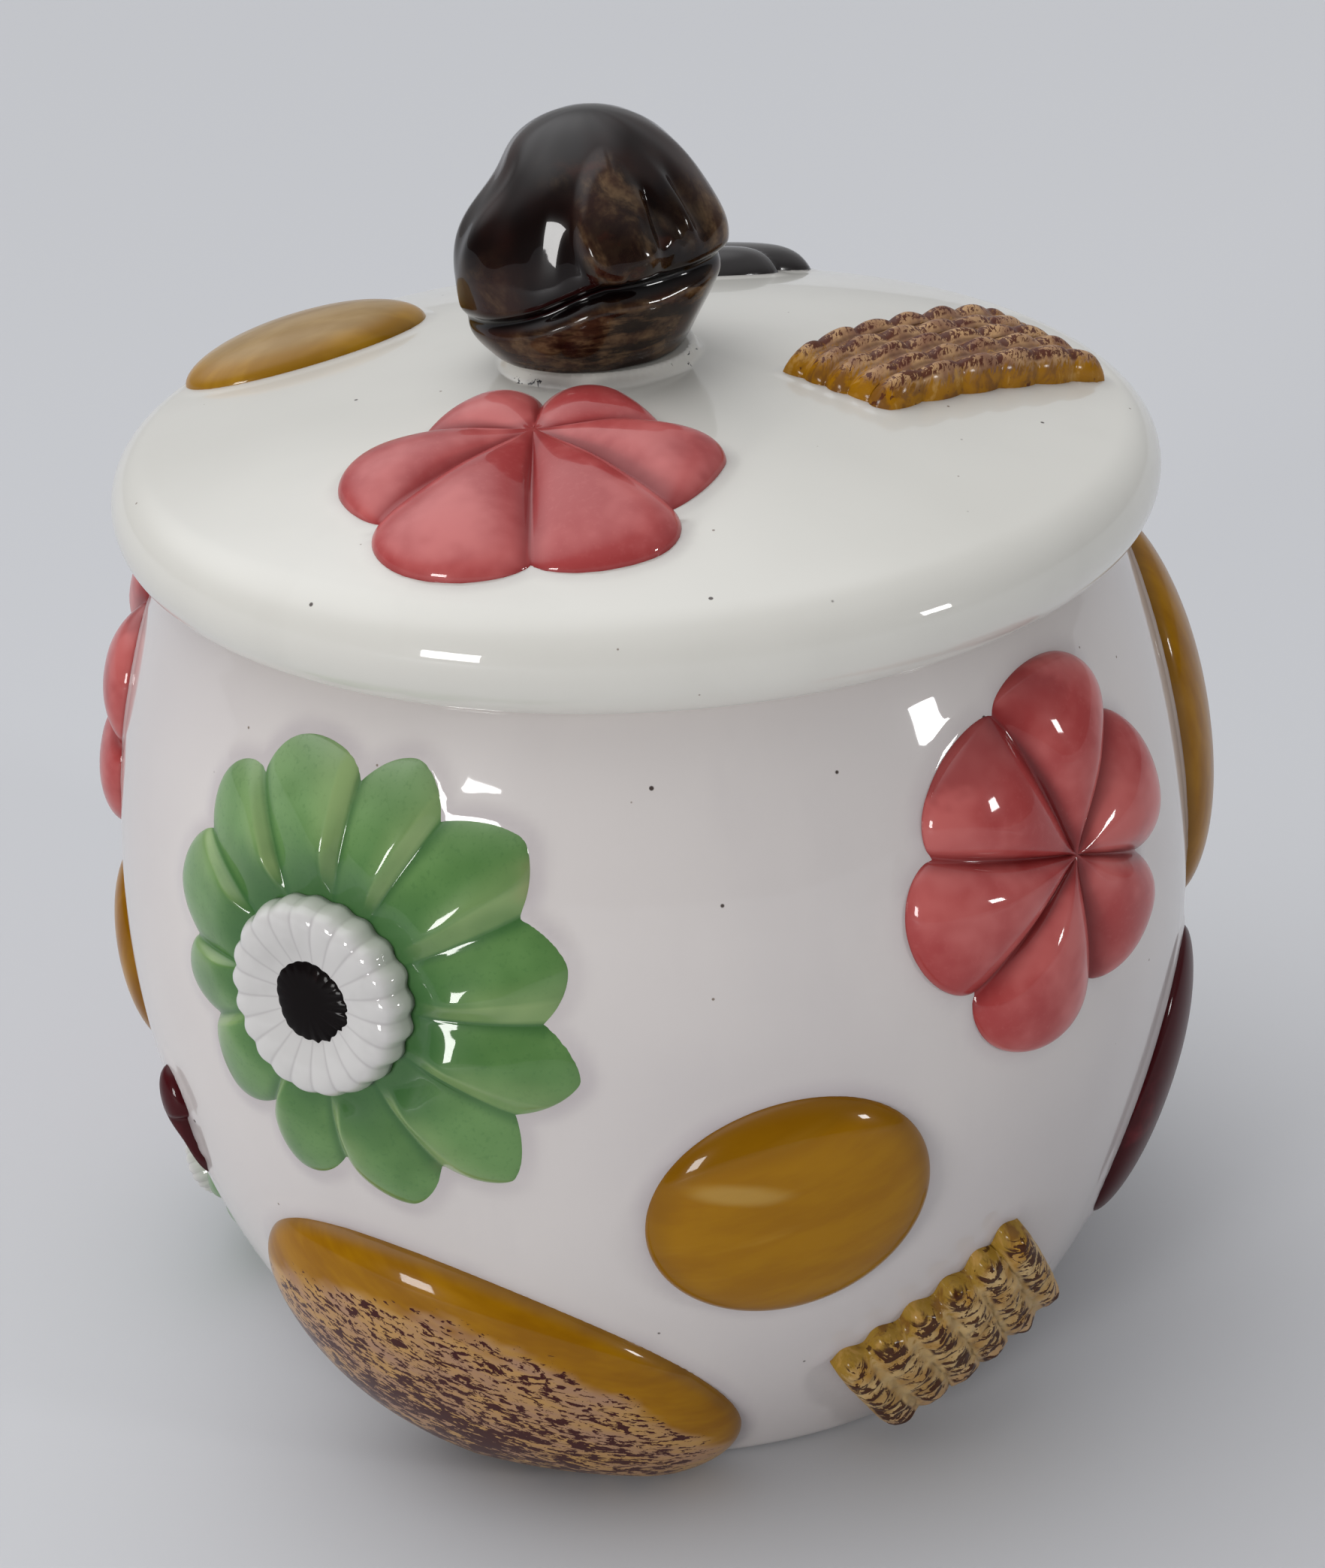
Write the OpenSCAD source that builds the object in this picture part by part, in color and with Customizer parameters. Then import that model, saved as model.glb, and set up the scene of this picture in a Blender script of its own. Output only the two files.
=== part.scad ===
// Biscuit jar: a barrel-shaped earthenware jar with a domed lift-off lid, a walnut knob and
// moulded biscuits luted on to the barrel and the lid.
// Frame: origin at the centre of the foot, on the table plane. +Z is up and the front is -Y.
// Places on the barrel are an angle from the front, growing towards +X, and a length along the
// wall measured up from the widest ring. Places on the lid are X and Y.

/* [Barrel] */
// Height of the barrel, from the foot to the rim
barrel_h = 159; // [150:1:175]
// Height of the widest ring above the foot
belly_z = 86; // [80:1:92]
// Outer radius at the widest ring
belly_r = 103.3; // [100:0.1:110]
// Radius of the wall's curve below the widest ring
lower_arc_r = 162; // [150:1:200]
// Radius of the wall's curve above the widest ring
upper_arc_r = 170; // [155:1:220]
// Thickness of the barrel's wall
wall = 5; // [4:0.5:7]
// Thickness of the barrel's floor
floor_t = 7; // [5:0.5:10]
// Width of the ring that the jar stands on
foot_w = 8; // [6:0.5:12]
// Depth of the hollow inside the foot ring
foot_recess = 1.5; // [1:0.5:3]
// Width of the flat rim that carries the lid
rim_w = 7; // [6:0.5:9]

/* [Lid] */
// Outer radius of the lid
lid_r = 96; // [94:0.5:100]
// Radius of the lid's rolled edge
lid_edge_r = 9.7; // [8.5:0.1:11]
// Radius of the dome
lid_dome_r = 335; // [300:1:380]
// Thickness of the lid's shell
lid_wall = 5; // [4:0.5:6]
// How far the lid's flange reaches down into the mouth
flange_h = 10; // [6:0.5:14]
// Thickness of the flange
flange_w = 5; // [4:0.5:7]
// Clearance between the flange and the mouth
flange_gap = 1.5; // [1:0.25:2.5]

/* [Knob] */
// Radius of the knob at its widest
knob_r = 24.2; // [20:0.1:28]
// Height of the knob above its seat
knob_h = 42.6; // [36:0.1:48]
// Sideways place of the knob
knob_x = -5.5; // [-10:0.5:4]
// Front to back place of the knob
knob_y = -2; // [-6:0.5:6]
// Radius of the white seat under the knob
seat_r = 16.7; // [14:0.1:19]
// Height of the seat above the top of the dome
seat_h = 2.4; // [1.6:0.2:6]
// How far the sides of the knob bulge out
knob_lobe = 3; // [0:0.1:4]

/* [Biscuits] */
// Gap that the slip between a biscuit and its ground fills
lute = 0.2; // [0.2:0.05:0.4]
// Thickness of a biscuit at its edge
edge_t = 1.2; // [0.8:0.1:2]
// Height of a six-petal rosette
rosette_h = 6.5; // [5:0.5:9]
// Depth of the grooves between petals, as a share of the height
groove = 0.5; // [0.3:0.05:0.7]
// Height of a daisy's green petals
daisy_h = 5.5; // [4:0.5:8]
// Thickness of a daisy's petals under its cup
daisy_bed_t = 2.6; // [2:0.2:4]
// Height of a daisy's white cup above its petals' bed
cup_h = 6.4; // [4:0.2:8]
// Thickness of a daisy's cup under its eye
cup_bed_t = 3.4; // [2:0.2:4]
// Height of a daisy's dark eye
eye_h = 2.6; // [1.6:0.2:4]
// Height of a small smooth oval
oval_h = 6; // [4:0.5:9]
// Height of a large speckled oval
loaf_h = 9.5; // [7:0.5:11]
// Height of the speckled ovals at the right and back
side_loaf_h = 7.5; // [6:0.5:9]
// Height of a ribbed wafer
wafer_h = 6.2; // [5:0.2:7]
// Depth of the valleys between a wafer's ribs
rib_depth = 1.8; // [1:0.2:2.4]
// Width of one rib of a wafer
rib_pitch = 7; // [5.5:0.1:7.4]
// Height of a chocolate oval
chocolate_h = 4.2; // [3.6:0.2:6]
// Height of the split chocolate biscuit on the lid
split_h = 6.6; // [5:0.2:8]
// Height of the small almond
almond_h = 3.5; // [3:0.5:6]

/* [Sizes of the biscuits] */
// Radius of the rosettes on the barrel
rosette_r = 34; // [26:0.5:36]
// Radius of the rosette on the lid
lid_rosette_r = 31; // [26:0.5:32]
// Half length of the split chocolate biscuit on the lid
split_a = 29; // [24:0.5:30]
// Half width of the split chocolate biscuit on the lid
split_b = 13; // [10:0.5:13.5]
// Radius of the front and back daisies' petals
daisy_r = 42; // [38:0.5:43]
// How far a daisy's petals lean away from its cup
daisy_lean = 3.2; // [0:0.2:4]
// Radius of the front and back daisies' cups
cup_r = 17.5; // [15:0.5:20]
// Radius of a daisy's dark eye
eye_r = 6.9; // [5:0.1:7.6]
// Radius of the small daisy at the left
small_daisy_r = 22; // [19:0.5:22.5]
// Radius of the small daisy's cup
small_cup_r = 8; // [7:0.5:9]
// Radius of the small daisy's eye
small_eye_r = 3.2; // [2.6:0.1:3.4]
// Half length of a smooth oval
oval_a = 25.5; // [22:0.5:27]
// Half width of a smooth oval
oval_b = 22.5; // [18:0.5:24]
// Half length of the big front oval
loaf_a = 48; // [44:0.5:50]
// Half width of the big front oval
loaf_b = 29; // [24:0.5:30]
// Half length of the speckled ovals at the right and back
side_loaf_a = 42; // [36:0.5:43]
// Half width of the speckled ovals at the right and back
side_loaf_b = 24; // [20:0.5:25]
// Half length of the tan oval on the lid
tan_a = 24; // [20:0.5:25]
// Half width of the tan oval on the lid
tan_b = 16.5; // [14:0.5:17.5]
// Half length of a chocolate oval
chocolate_a = 29; // [24:0.5:30]
// Half width of a chocolate oval
chocolate_b = 14; // [11:0.5:15]
// Half length of the small almond
almond_a = 12; // [10:0.5:13]
// Half width of the small almond
almond_b = 5.5; // [4.5:0.5:6.5]
// Length of the ribs of the wafers on the barrel
wafer_rib = 38; // [30:0.5:38.5]
// Number of ribs of the wafers on the barrel
wafer_ribs = 6; // [4:1:6]
// Length of the ribs of the wafer on the lid
lid_wafer_rib = 53; // [42:0.5:54]
// Width of one rib of the wafer on the lid, at its broad end
lid_rib_pitch = 6.2; // [5.2:0.1:6.6]
// Width of the narrow end of the wafer on the lid
lid_wafer_narrow = 22; // [18:0.5:30]
// How far the narrow end of the wafer on the lid slants back
lid_wafer_slant = 6.4; // [0:0.2:7]
// How far the narrow end of the wafer on the lid is set to the front
lid_wafer_shift = 5.5; // [0:0.5:6]
// Number of ribs of the wafer on the lid
lid_wafer_ribs = 5; // [4:1:5]

/* [Hidden] */

$fn = 96;
// Steps of each curve that the turned profiles follow
arc_steps = 14;
edge_round = 1.5;      // rounding of the foot and the rim
floor_round = 8;       // rounding between the floor and the wall inside
lip_h = 4;             // height of the straight mouth under the rim
seat_flare = 1.6;      // how much wider the knob's seat is where it meets the dome
knob_end = 137;        // angle from the knob's top at which its underside is cut flat
petals = 6;            // petals of a rosette
daisy_petals = 12;     // petals of a daisy
lean_turn = 20;        // direction in which a daisy's petals lean
foot_clear = 1.5;      // least height of a biscuit above the table

GLAZE = [0.82, 0.80, 0.76];
PINK = [0.68, 0.25, 0.28];
GREEN = [0.33, 0.55, 0.33];
WHITE = [0.86, 0.85, 0.82];
DARK = [0.10, 0.05, 0.05];
MUSTARD = [0.58, 0.38, 0.05];
TAN = [0.62, 0.46, 0.28];
WAFER = [0.60, 0.45, 0.25];
CHOCOLATE = [0.22, 0.09, 0.08];
WALNUT = [0.16, 0.09, 0.07];

// ---- the barrel's wall ----
function wall_arc_r(s) = s < 0 ? lower_arc_r : upper_arc_r;
function wall_slope(s) = s / wall_arc_r(s) * 180 / PI;
function wall_r(s) = belly_r - wall_arc_r(s) * (1 - cos(wall_slope(s)));
function wall_z(s) = belly_z + wall_arc_r(s) * sin(wall_slope(s));
foot_s = -lower_arc_r * asin(belly_z / lower_arc_r) * PI / 180;
rim_s = upper_arc_r * asin((barrel_h - belly_z) / upper_arc_r) * PI / 180;
foot_r = wall_r(foot_s);
rim_r = wall_r(rim_s);
mouth_r = rim_r - rim_w;

// A point of the wall's profile, moved outwards by h
function wall_point(s, h) = [wall_r(s) + h * cos(wall_slope(s)), wall_z(s) + h * sin(wall_slope(s))];

// A point h above the barrel's skin, at an angle from the front
function on_barrel(angle, s, h) =
    let (p = wall_point(s, h)) [p[0] * sin(angle), -p[0] * cos(angle), max(p[1], foot_clear)];

// ---- the lid's skin ----
lid_edge_z = barrel_h + lid_edge_r;
lid_tube_r = lid_r - lid_edge_r;
lid_dome_z = lid_edge_z - sqrt(pow(lid_dome_r - lid_edge_r, 2) - pow(lid_tube_r, 2));
lid_join_r = lid_tube_r * lid_dome_r / (lid_dome_r - lid_edge_r);
lid_top = lid_dome_z + lid_dome_r;
seat_top = lid_top + seat_h;

// Outward direction of the lid's skin at radius r, as [outwards, up]
function lid_normal(r) =
    r < lid_join_r
        ? [r / lid_dome_r, sqrt(1 - pow(r / lid_dome_r, 2))]
        : let (e = min(0.98, (r - lid_tube_r) / lid_edge_r)) [e, sqrt(1 - e * e)];
function lid_skin_z(r) =
    r < lid_join_r
        ? lid_dome_z + sqrt(pow(lid_dome_r, 2) - r * r)
        : lid_edge_z + lid_edge_r * lid_normal(r)[1];
function on_lid(x, y, h) =
    let (r = max(0.001, norm([x, y])), n = lid_normal(r))
    [x + x / r * n[0] * h, y + y / r * n[0] * h, lid_skin_z(r) + n[1] * h];

// ---- places of the biscuits: ground, place, place, turn ----
// Places are given for the jar's first size and move in proportion with its wall and lid
wall_share = (rim_s - foot_s) / 166.1;
lid_share = lid_r / 96;
function barrel_place(angle, s, turn = 0) = ["barrel", angle, s * wall_share, turn];
function lid_place(x, y, turn = 0) = ["lid", x * lid_share, y * lid_share, turn];
// The point [u, v] of a biscuit's own plan, h above its ground
function place(at, u, v, h) =
    let (
        p = u * cos(at[3]) - v * sin(at[3]),
        q = u * sin(at[3]) + v * cos(at[3])
    )
    at[0] == "barrel"
        ? on_barrel(at[1] + p / wall_r(at[2] + q) * 180 / PI, at[2] + q, h)
        : on_lid(at[1] + p, at[2] + q, h);

FRONT_DAISY = barrel_place(-33, 23);
LEFT_DAISY = barrel_place(-90, -66, 120);
BACK_DAISY = barrel_place(178, 22, 60);

// ---- plan outlines: distance from the centre at angle t ----
function petal_wave(count, t) = abs(sin(count * t / 2));
function flower_reach(r, count, notch, t) = r * (1 - notch + notch * pow(petal_wave(count, t), 0.65));
function round_reach(a, b, power, t) =
    pow(pow(abs(cos(t)) / a, power) + pow(abs(sin(t)) / b, power), -1 / power);
function daisy_reach(r, lean, t) = flower_reach(r, daisy_petals, 0.14, t) + lean * cos(t - lean_turn);
// An outline on the barrel, cut off where it would run past the foot
function above_foot(at, reach, t) =
    let (down = -sin(t + at[3]), room = at[2] - foot_s - foot_clear)
    at[0] == "barrel" && down * reach > room ? room / down : reach;

// Height of a cushion at the share q of the way from its centre to its edge
function cushion(q) = pow(max(0, 1 - pow(q, 2.6)), 0.55);
function smooth_step(lo, hi, x) =
    let (k = min(1, max(0, (x - lo) / (hi - lo)))) k * k * (3 - 2 * k);

// ---- a biscuit: a closed skin over a plan of rings and sectors ----
// reach(t) is the outline, rise(q, t) the height and lift the height of its underside;
// spread(k, t) is the share of the reach at which ring k lies.
module biscuit(at, sectors, rings, reach, rise, lift = lute, spread = function(k, t) k) {
    back_rings = max(2, rings - 1);
    angles = [for (j = [0:sectors - 1]) 360 * j / sectors];
    top = [
        place(at, 0, 0, lift + rise(0, 0)),
        for (i = [1:rings], t = angles)
            let (q = spread(i / rings, t), r = q * reach(t))
            place(at, r * cos(t), r * sin(t), lift + rise(q, t)),
    ];
    under = [
        place(at, 0, 0, lift),
        for (i = [1:back_rings], t = angles)
            let (r = spread(i / back_rings, t) * reach(t)) place(at, r * cos(t), r * sin(t), lift),
    ];
    start = len(top);
    function on_top(i, j) = 1 + (i - 1) * sectors + j % sectors;
    function on_under(i, j) = start + 1 + (i - 1) * sectors + j % sectors;
    faces = [
        for (j = [0:sectors - 1]) each [
            [0, on_top(1, j + 1), on_top(1, j)],
            [start, on_under(1, j), on_under(1, j + 1)],
            [on_top(rings, j), on_top(rings, j + 1), on_under(back_rings, j + 1)],
            [on_top(rings, j), on_under(back_rings, j + 1), on_under(back_rings, j)],
            for (i = [1:rings - 1]) each [
                [on_top(i, j), on_top(i, j + 1), on_top(i + 1, j + 1)],
                [on_top(i, j), on_top(i + 1, j + 1), on_top(i + 1, j)],
            ],
            for (i = [1:back_rings - 1]) each [
                [on_under(i, j), on_under(i + 1, j + 1), on_under(i, j + 1)],
                [on_under(i, j), on_under(i + 1, j), on_under(i + 1, j + 1)],
            ],
        ],
    ];
    polyhedron(points = concat(top, under), faces = faces);
}

// A smooth oval; power 2 gives an ellipse, more gives fuller ends
module oval(at, a, b, h, power = 2, sectors = 32, rings = 5) {
    biscuit(at, sectors, rings,
        function(t) above_foot(at, round_reach(a, b, power, t), t),
        function(q, t) edge_t + (h - edge_t) * cushion(q));
}

// An oval of two halves with a groove along its length
module split_oval(at, a, b, h) {
    biscuit(at, 36, 6,
        function(t) round_reach(a, b, 2.4, t),
        function(q, t)
            let (v = q * round_reach(a, b, 2.4, t) * sin(t))
            edge_t + (h - edge_t) * cushion(q) * (1 - groove * exp(-pow(v / (0.18 * b), 2))));
}

// Six puffed petals with grooves between them and a dip in the middle
module rosette(at, r, h = rosette_h, lean = 0, lean_to = 0) {
    biscuit(at, petals * 6, 5,
        function(t) flower_reach(r, petals, 0.2, t) + lean * cos(t - lean_to),
        function(q, t)
            edge_t + (h - edge_t) * cushion(q) * (0.72 + 0.28 * smooth_step(0, 0.6, q))
                * (1 - groove + groove * pow(petal_wave(petals, t), 0.6)));
}

// Ragged green petals round a flat bed that carries the cup
module daisy_petals(at, r, bed_r, lean = daisy_lean) {
    biscuit(at, daisy_petals * 4, 5,
        function(t) daisy_reach(r, lean, t),
        function(q, t)
            let (out = smooth_step(bed_r, bed_r + 4, q * daisy_reach(r, lean, t)))
            daisy_bed_t + out * (
                (daisy_h - daisy_bed_t) * cushion(q) * (0.5 + 0.5 * petal_wave(daisy_petals, t))
                - (daisy_bed_t - edge_t) * smooth_step(0.8, 1, q)),
        spread = function(k, t)
            let (bed = (bed_r + 0.3) / daisy_reach(r, lean, t))
            k <= 0.4 ? bed * k / 0.4 : bed + (1 - bed) * (k - 0.4) / 0.6);
}

// A white cup whose flat middle carries the eye
module daisy_cup(at, r, eye) {
    biscuit(at, 30, 5,
        function(t) r,
        function(q, t)
            let (out = smooth_step(eye, eye + 3, q * r))
            cup_bed_t * (1 - out) + out * (edge_t + (cup_h - edge_t) * cushion(q)),
        lute + daisy_bed_t + lute);
}

module daisy_eye(at, r) {
    biscuit(at, 20, 3,
        function(t) r,
        function(q, t) edge_t / 2 + (eye_h - edge_t / 2) * cushion(q),
        lute + daisy_bed_t + lute + cup_bed_t + lute);
}

// A slab of parallel scalloped ribs; the ribs run along the plan's first direction
module wafer(at, length, ribs, pitch, narrow = 0, slant = 0, shift = 0) {
    steps_u = 6;
    steps_v = ribs * 4;
    width = ribs * pitch;
    narrowed = narrow == 0 ? 0 : width - narrow;
    function rib_wave(v) = abs(sin(180 * ribs * v));
    function half_u(v) = length / 2 * (0.94 + 0.06 * rib_wave(v));
    function rise(u, v) =
        edge_t + (wafer_h - edge_t - rib_depth * (1 - rib_wave(v)))
            * pow(1 - pow(abs(2 * u - 1), 6), 0.5) * pow(min(1, 5 * min(v, 1 - v) + 0.02), 0.4);
    function on_plan(i, j, h) =
        let (u = i / steps_u, v = j / steps_v, end = 1 - u)
        place(at, (2 * u - 1) * half_u(v) - slant * v * end,
            (v - 0.5) * (width - narrowed * end) - shift * end, h);
    top = [for (i = [0:steps_u], j = [0:steps_v]) on_plan(i, j, lute + rise(i / steps_u, j / steps_v))];
    under = [for (i = [0:steps_u], j = [0:steps_v]) on_plan(i, j, lute)];
    start = len(top);
    function at_top(i, j) = i * (steps_v + 1) + j;
    function at_under(i, j) = start + at_top(i, j);
    skin = [
        for (i = [0:steps_u - 1], j = [0:steps_v - 1]) each [
            [at_top(i, j), at_top(i, j + 1), at_top(i + 1, j + 1)],
            [at_top(i, j), at_top(i + 1, j + 1), at_top(i + 1, j)],
            [at_under(i, j), at_under(i + 1, j + 1), at_under(i, j + 1)],
            [at_under(i, j), at_under(i + 1, j), at_under(i + 1, j + 1)],
        ],
    ];
    long_sides = [
        for (i = [0:steps_u - 1]) each [
            [at_top(i, 0), at_top(i + 1, 0), at_under(i + 1, 0)],
            [at_top(i, 0), at_under(i + 1, 0), at_under(i, 0)],
            [at_top(i, steps_v), at_under(i + 1, steps_v), at_top(i + 1, steps_v)],
            [at_top(i, steps_v), at_under(i, steps_v), at_under(i + 1, steps_v)],
        ],
    ];
    rib_ends = [
        for (j = [0:steps_v - 1]) each [
            [at_top(0, j), at_under(0, j + 1), at_top(0, j + 1)],
            [at_top(0, j), at_under(0, j), at_under(0, j + 1)],
            [at_top(steps_u, j), at_top(steps_u, j + 1), at_under(steps_u, j + 1)],
            [at_top(steps_u, j), at_under(steps_u, j + 1), at_under(steps_u, j)],
        ],
    ];
    polyhedron(points = concat(top, under), faces = concat(skin, long_sides, rib_ends));
}

// ---- turned pieces ----
module jar_barrel() {
    low = foot_s + 2 * edge_round;
    high = rim_s - edge_round;
    inner_low = foot_s + floor_t + floor_round;
    inner_high = rim_s - lip_h - wall;
    outer = [for (i = [0:2 * arc_steps]) wall_point(low + (high - low) * i / (2 * arc_steps), 0)];
    inner = [
        for (i = [2 * arc_steps:-1:0])
            wall_point(inner_low + (inner_high - inner_low) * i / (2 * arc_steps), -wall)
    ];
    floor_edge_r = inner[len(inner) - 1][0];
    color(GLAZE) rotate_extrude() polygon(concat(
        [[foot_r - foot_w, 0], [foot_r - edge_round, 0]],
        outer,
        [[rim_r - edge_round, barrel_h], [mouth_r, barrel_h], [mouth_r, barrel_h - lip_h]],
        inner,
        [
            [floor_edge_r - floor_round * 0.3, floor_t + floor_round * 0.35],
            [floor_edge_r - floor_round, floor_t],
            [0, floor_t], [0, foot_recess], [foot_r - foot_w - foot_recess, foot_recess],
        ]
    ));
}

// Points of an arc in the profile plane; angles run from the outward direction
function arc(cx, cz, r, from, to, steps = arc_steps) =
    [for (i = [0:steps]) let (t = from + (to - from) * i / steps) [cx + r * cos(t), cz + r * sin(t)]];

module lid_shell() {
    join = acos(lid_tube_r / (lid_dome_r - lid_edge_r));
    in_r = lid_edge_r - lid_wall;
    flange_out = mouth_r - flange_gap;
    flange_in = flange_out - flange_w;
    color(GLAZE) {
        rotate_extrude() polygon(concat(
            arc(0, lid_dome_z, lid_dome_r, 90, join),
            arc(lid_tube_r, lid_edge_z, lid_edge_r, join, -90),
            [
                [flange_out, barrel_h], [flange_out, barrel_h - flange_h + 1],
                [flange_out - 1, barrel_h - flange_h], [flange_in + 1, barrel_h - flange_h],
                [flange_in, barrel_h - flange_h + 1], [flange_in, barrel_h + lid_wall],
            ],
            arc(lid_tube_r, lid_edge_z, in_r, -90, join),
            arc(0, lid_dome_z, lid_dome_r - lid_wall, join, 90)
        ));
        translate([knob_x, knob_y, lid_top - lid_wall / 2])
            cylinder(r1 = seat_r + seat_flare, r2 = seat_r, h = seat_top - lid_top + lid_wall / 2);
    }
}

// A walnut shape: a rounded knob with bulging sides, tapering to its seat
module walnut_knob() {
    sectors = 32;
    rings = 16;
    half_h = knob_h / (1 - cos(knob_end));
    middle_z = seat_top + knob_h - half_h;
    function knob_reach(t, turn) =
        let (
            right = pow(max(0, cos(turn - 10)), 2) * exp(-pow((t - 84) / 28, 2)),
            left = 1.2 * pow(max(0, cos(turn - 185)), 2) * exp(-pow((t - 108) / 30, 2)),
            front = 0.6 * pow(max(0, cos(turn + 80)), 4) * exp(-pow((t - 85) / 30, 2)),
            back = 0.6 * pow(max(0, cos(turn - 95)), 2) * exp(-pow((t - 90) / 30, 2))
        )
        (knob_r - knob_lobe) * pow(sin(t), t < 90 ? 0.98 : 0.8) + knob_lobe * (right + left + front + back);
    function knob_point(t, turn) =
        let (r = knob_reach(t, turn))
        [knob_x + r * cos(turn), knob_y + r * sin(turn), middle_z + half_h * cos(t)];
    turns = [for (j = [0:sectors - 1]) 360 * j / sectors];
    points = [
        [knob_x, knob_y, seat_top + knob_h],
        for (i = [1:rings], turn = turns) knob_point(knob_end * i / rings, turn),
        [knob_x, knob_y, seat_top],
    ];
    last = len(points) - 1;
    function spot(i, j) = 1 + (i - 1) * sectors + j % sectors;
    faces = [
        for (j = [0:sectors - 1]) each [
            [0, spot(1, j + 1), spot(1, j)],
            [last, spot(rings, j), spot(rings, j + 1)],
            for (i = [1:rings - 1]) each [
                [spot(i, j), spot(i, j + 1), spot(i + 1, j + 1)],
                [spot(i, j), spot(i + 1, j + 1), spot(i + 1, j)],
            ],
        ],
    ];
    color(WALNUT) polyhedron(points = points, faces = faces);
}

// ---- biscuits on the lid ----
module lid_rosette()
    color(PINK) rosette(lid_place(-16.8, -40.1, 30), lid_rosette_r, lean = 0.42 * lid_rosette_r, lean_to = -120);
module lid_oval() color(TAN) oval(lid_place(-62, 32, 22), tan_a, tan_b, oval_h);
module lid_wafer()
    color(WAFER) wafer(lid_place(57.5, 0, 34), lid_wafer_rib, lid_wafer_ribs, lid_rib_pitch,
        lid_wafer_narrow, lid_wafer_slant, lid_wafer_shift);
module lid_chocolate() color(CHOCOLATE) split_oval(lid_place(8, 66.5, 12), split_a, split_b, split_h);

// ---- biscuits on the front of the barrel ----
module front_daisy_petals() color(GREEN) daisy_petals(FRONT_DAISY, daisy_r, cup_r);
module front_daisy_cup() color(WHITE) daisy_cup(FRONT_DAISY, cup_r, eye_r);
module front_daisy_eye() color(DARK) daisy_eye(FRONT_DAISY, eye_r);
module right_rosette() color(PINK) rosette(barrel_place(44, 35, 38), rosette_r, lean = 1.6, lean_to = 160);
module front_oval() color(MUSTARD) oval(barrel_place(11.4, -16, 15), oval_a, oval_b, oval_h);
module front_speckled_oval()
    color(MUSTARD) oval(barrel_place(-23, -60, -24), loaf_a, loaf_b, loaf_h, sectors = 44, rings = 6);
module front_wafer() color(WAFER) wafer(barrel_place(32.5, -60, -58), wafer_rib, wafer_ribs, rib_pitch);

// ---- biscuits on the right of the barrel ----
module right_speckled_oval()
    color(MUSTARD) oval(barrel_place(95, 23, 90), side_loaf_a, side_loaf_b, side_loaf_h);
module right_chocolate_oval()
    color(CHOCOLATE) oval(barrel_place(69.5, -34.5, 60), chocolate_a, chocolate_b, chocolate_h, 2.2, 28, 4);

// ---- biscuits on the left of the barrel ----
module left_rosette() color(PINK) rosette(barrel_place(-104, 36.5, 50), rosette_r);
module left_oval() color(MUSTARD) oval(barrel_place(-95, -19, 84), oval_a - 3, oval_b - 3, oval_h);
module left_almond()
    color(CHOCOLATE) oval(barrel_place(-63.5, -28, 100), almond_a, almond_b, almond_h, 2, 24, 4);
module left_daisy_petals() color(GREEN) daisy_petals(LEFT_DAISY, small_daisy_r, small_cup_r, 0);
module left_daisy_cup() color(WHITE) daisy_cup(LEFT_DAISY, small_cup_r, small_eye_r);
module left_daisy_eye() color(DARK) daisy_eye(LEFT_DAISY, small_eye_r);

// ---- biscuits on the back of the barrel ----
module back_daisy_petals() color(GREEN) daisy_petals(BACK_DAISY, daisy_r - daisy_lean, cup_r, 0);
module back_daisy_cup() color(WHITE) daisy_cup(BACK_DAISY, cup_r, eye_r);
module back_daisy_eye() color(DARK) daisy_eye(BACK_DAISY, eye_r);
module back_rosette() color(PINK) rosette(barrel_place(-138, -34, 10), rosette_r);
module back_oval() color(MUSTARD) oval(barrel_place(135, 38, 60), oval_a, oval_b, oval_h);
module back_speckled_oval()
    color(MUSTARD) oval(barrel_place(172, -58, 10), side_loaf_a, side_loaf_b, side_loaf_h);
module back_wafer() color(WAFER) wafer(barrel_place(122, -34, -70), wafer_rib, wafer_ribs, rib_pitch);
module back_chocolate_oval()
    color(CHOCOLATE) oval(barrel_place(-145, 38, 66), chocolate_a, chocolate_b, chocolate_h, 2.2, 28, 4);

jar_barrel();
lid_shell();
walnut_knob();
lid_rosette();
lid_oval();
lid_wafer();
lid_chocolate();
front_daisy_petals();
front_daisy_cup();
front_daisy_eye();
right_rosette();
front_oval();
front_speckled_oval();
front_wafer();
right_speckled_oval();
right_chocolate_oval();
left_rosette();
left_oval();
left_almond();
left_daisy_petals();
left_daisy_cup();
left_daisy_eye();
back_daisy_petals();
back_daisy_cup();
back_daisy_eye();
back_rosette();
back_oval();
back_speckled_oval();
back_wafer();
back_chocolate_oval();
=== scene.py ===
import math

import bpy
import numpy as np
from mathutils import Matrix, Vector


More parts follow.
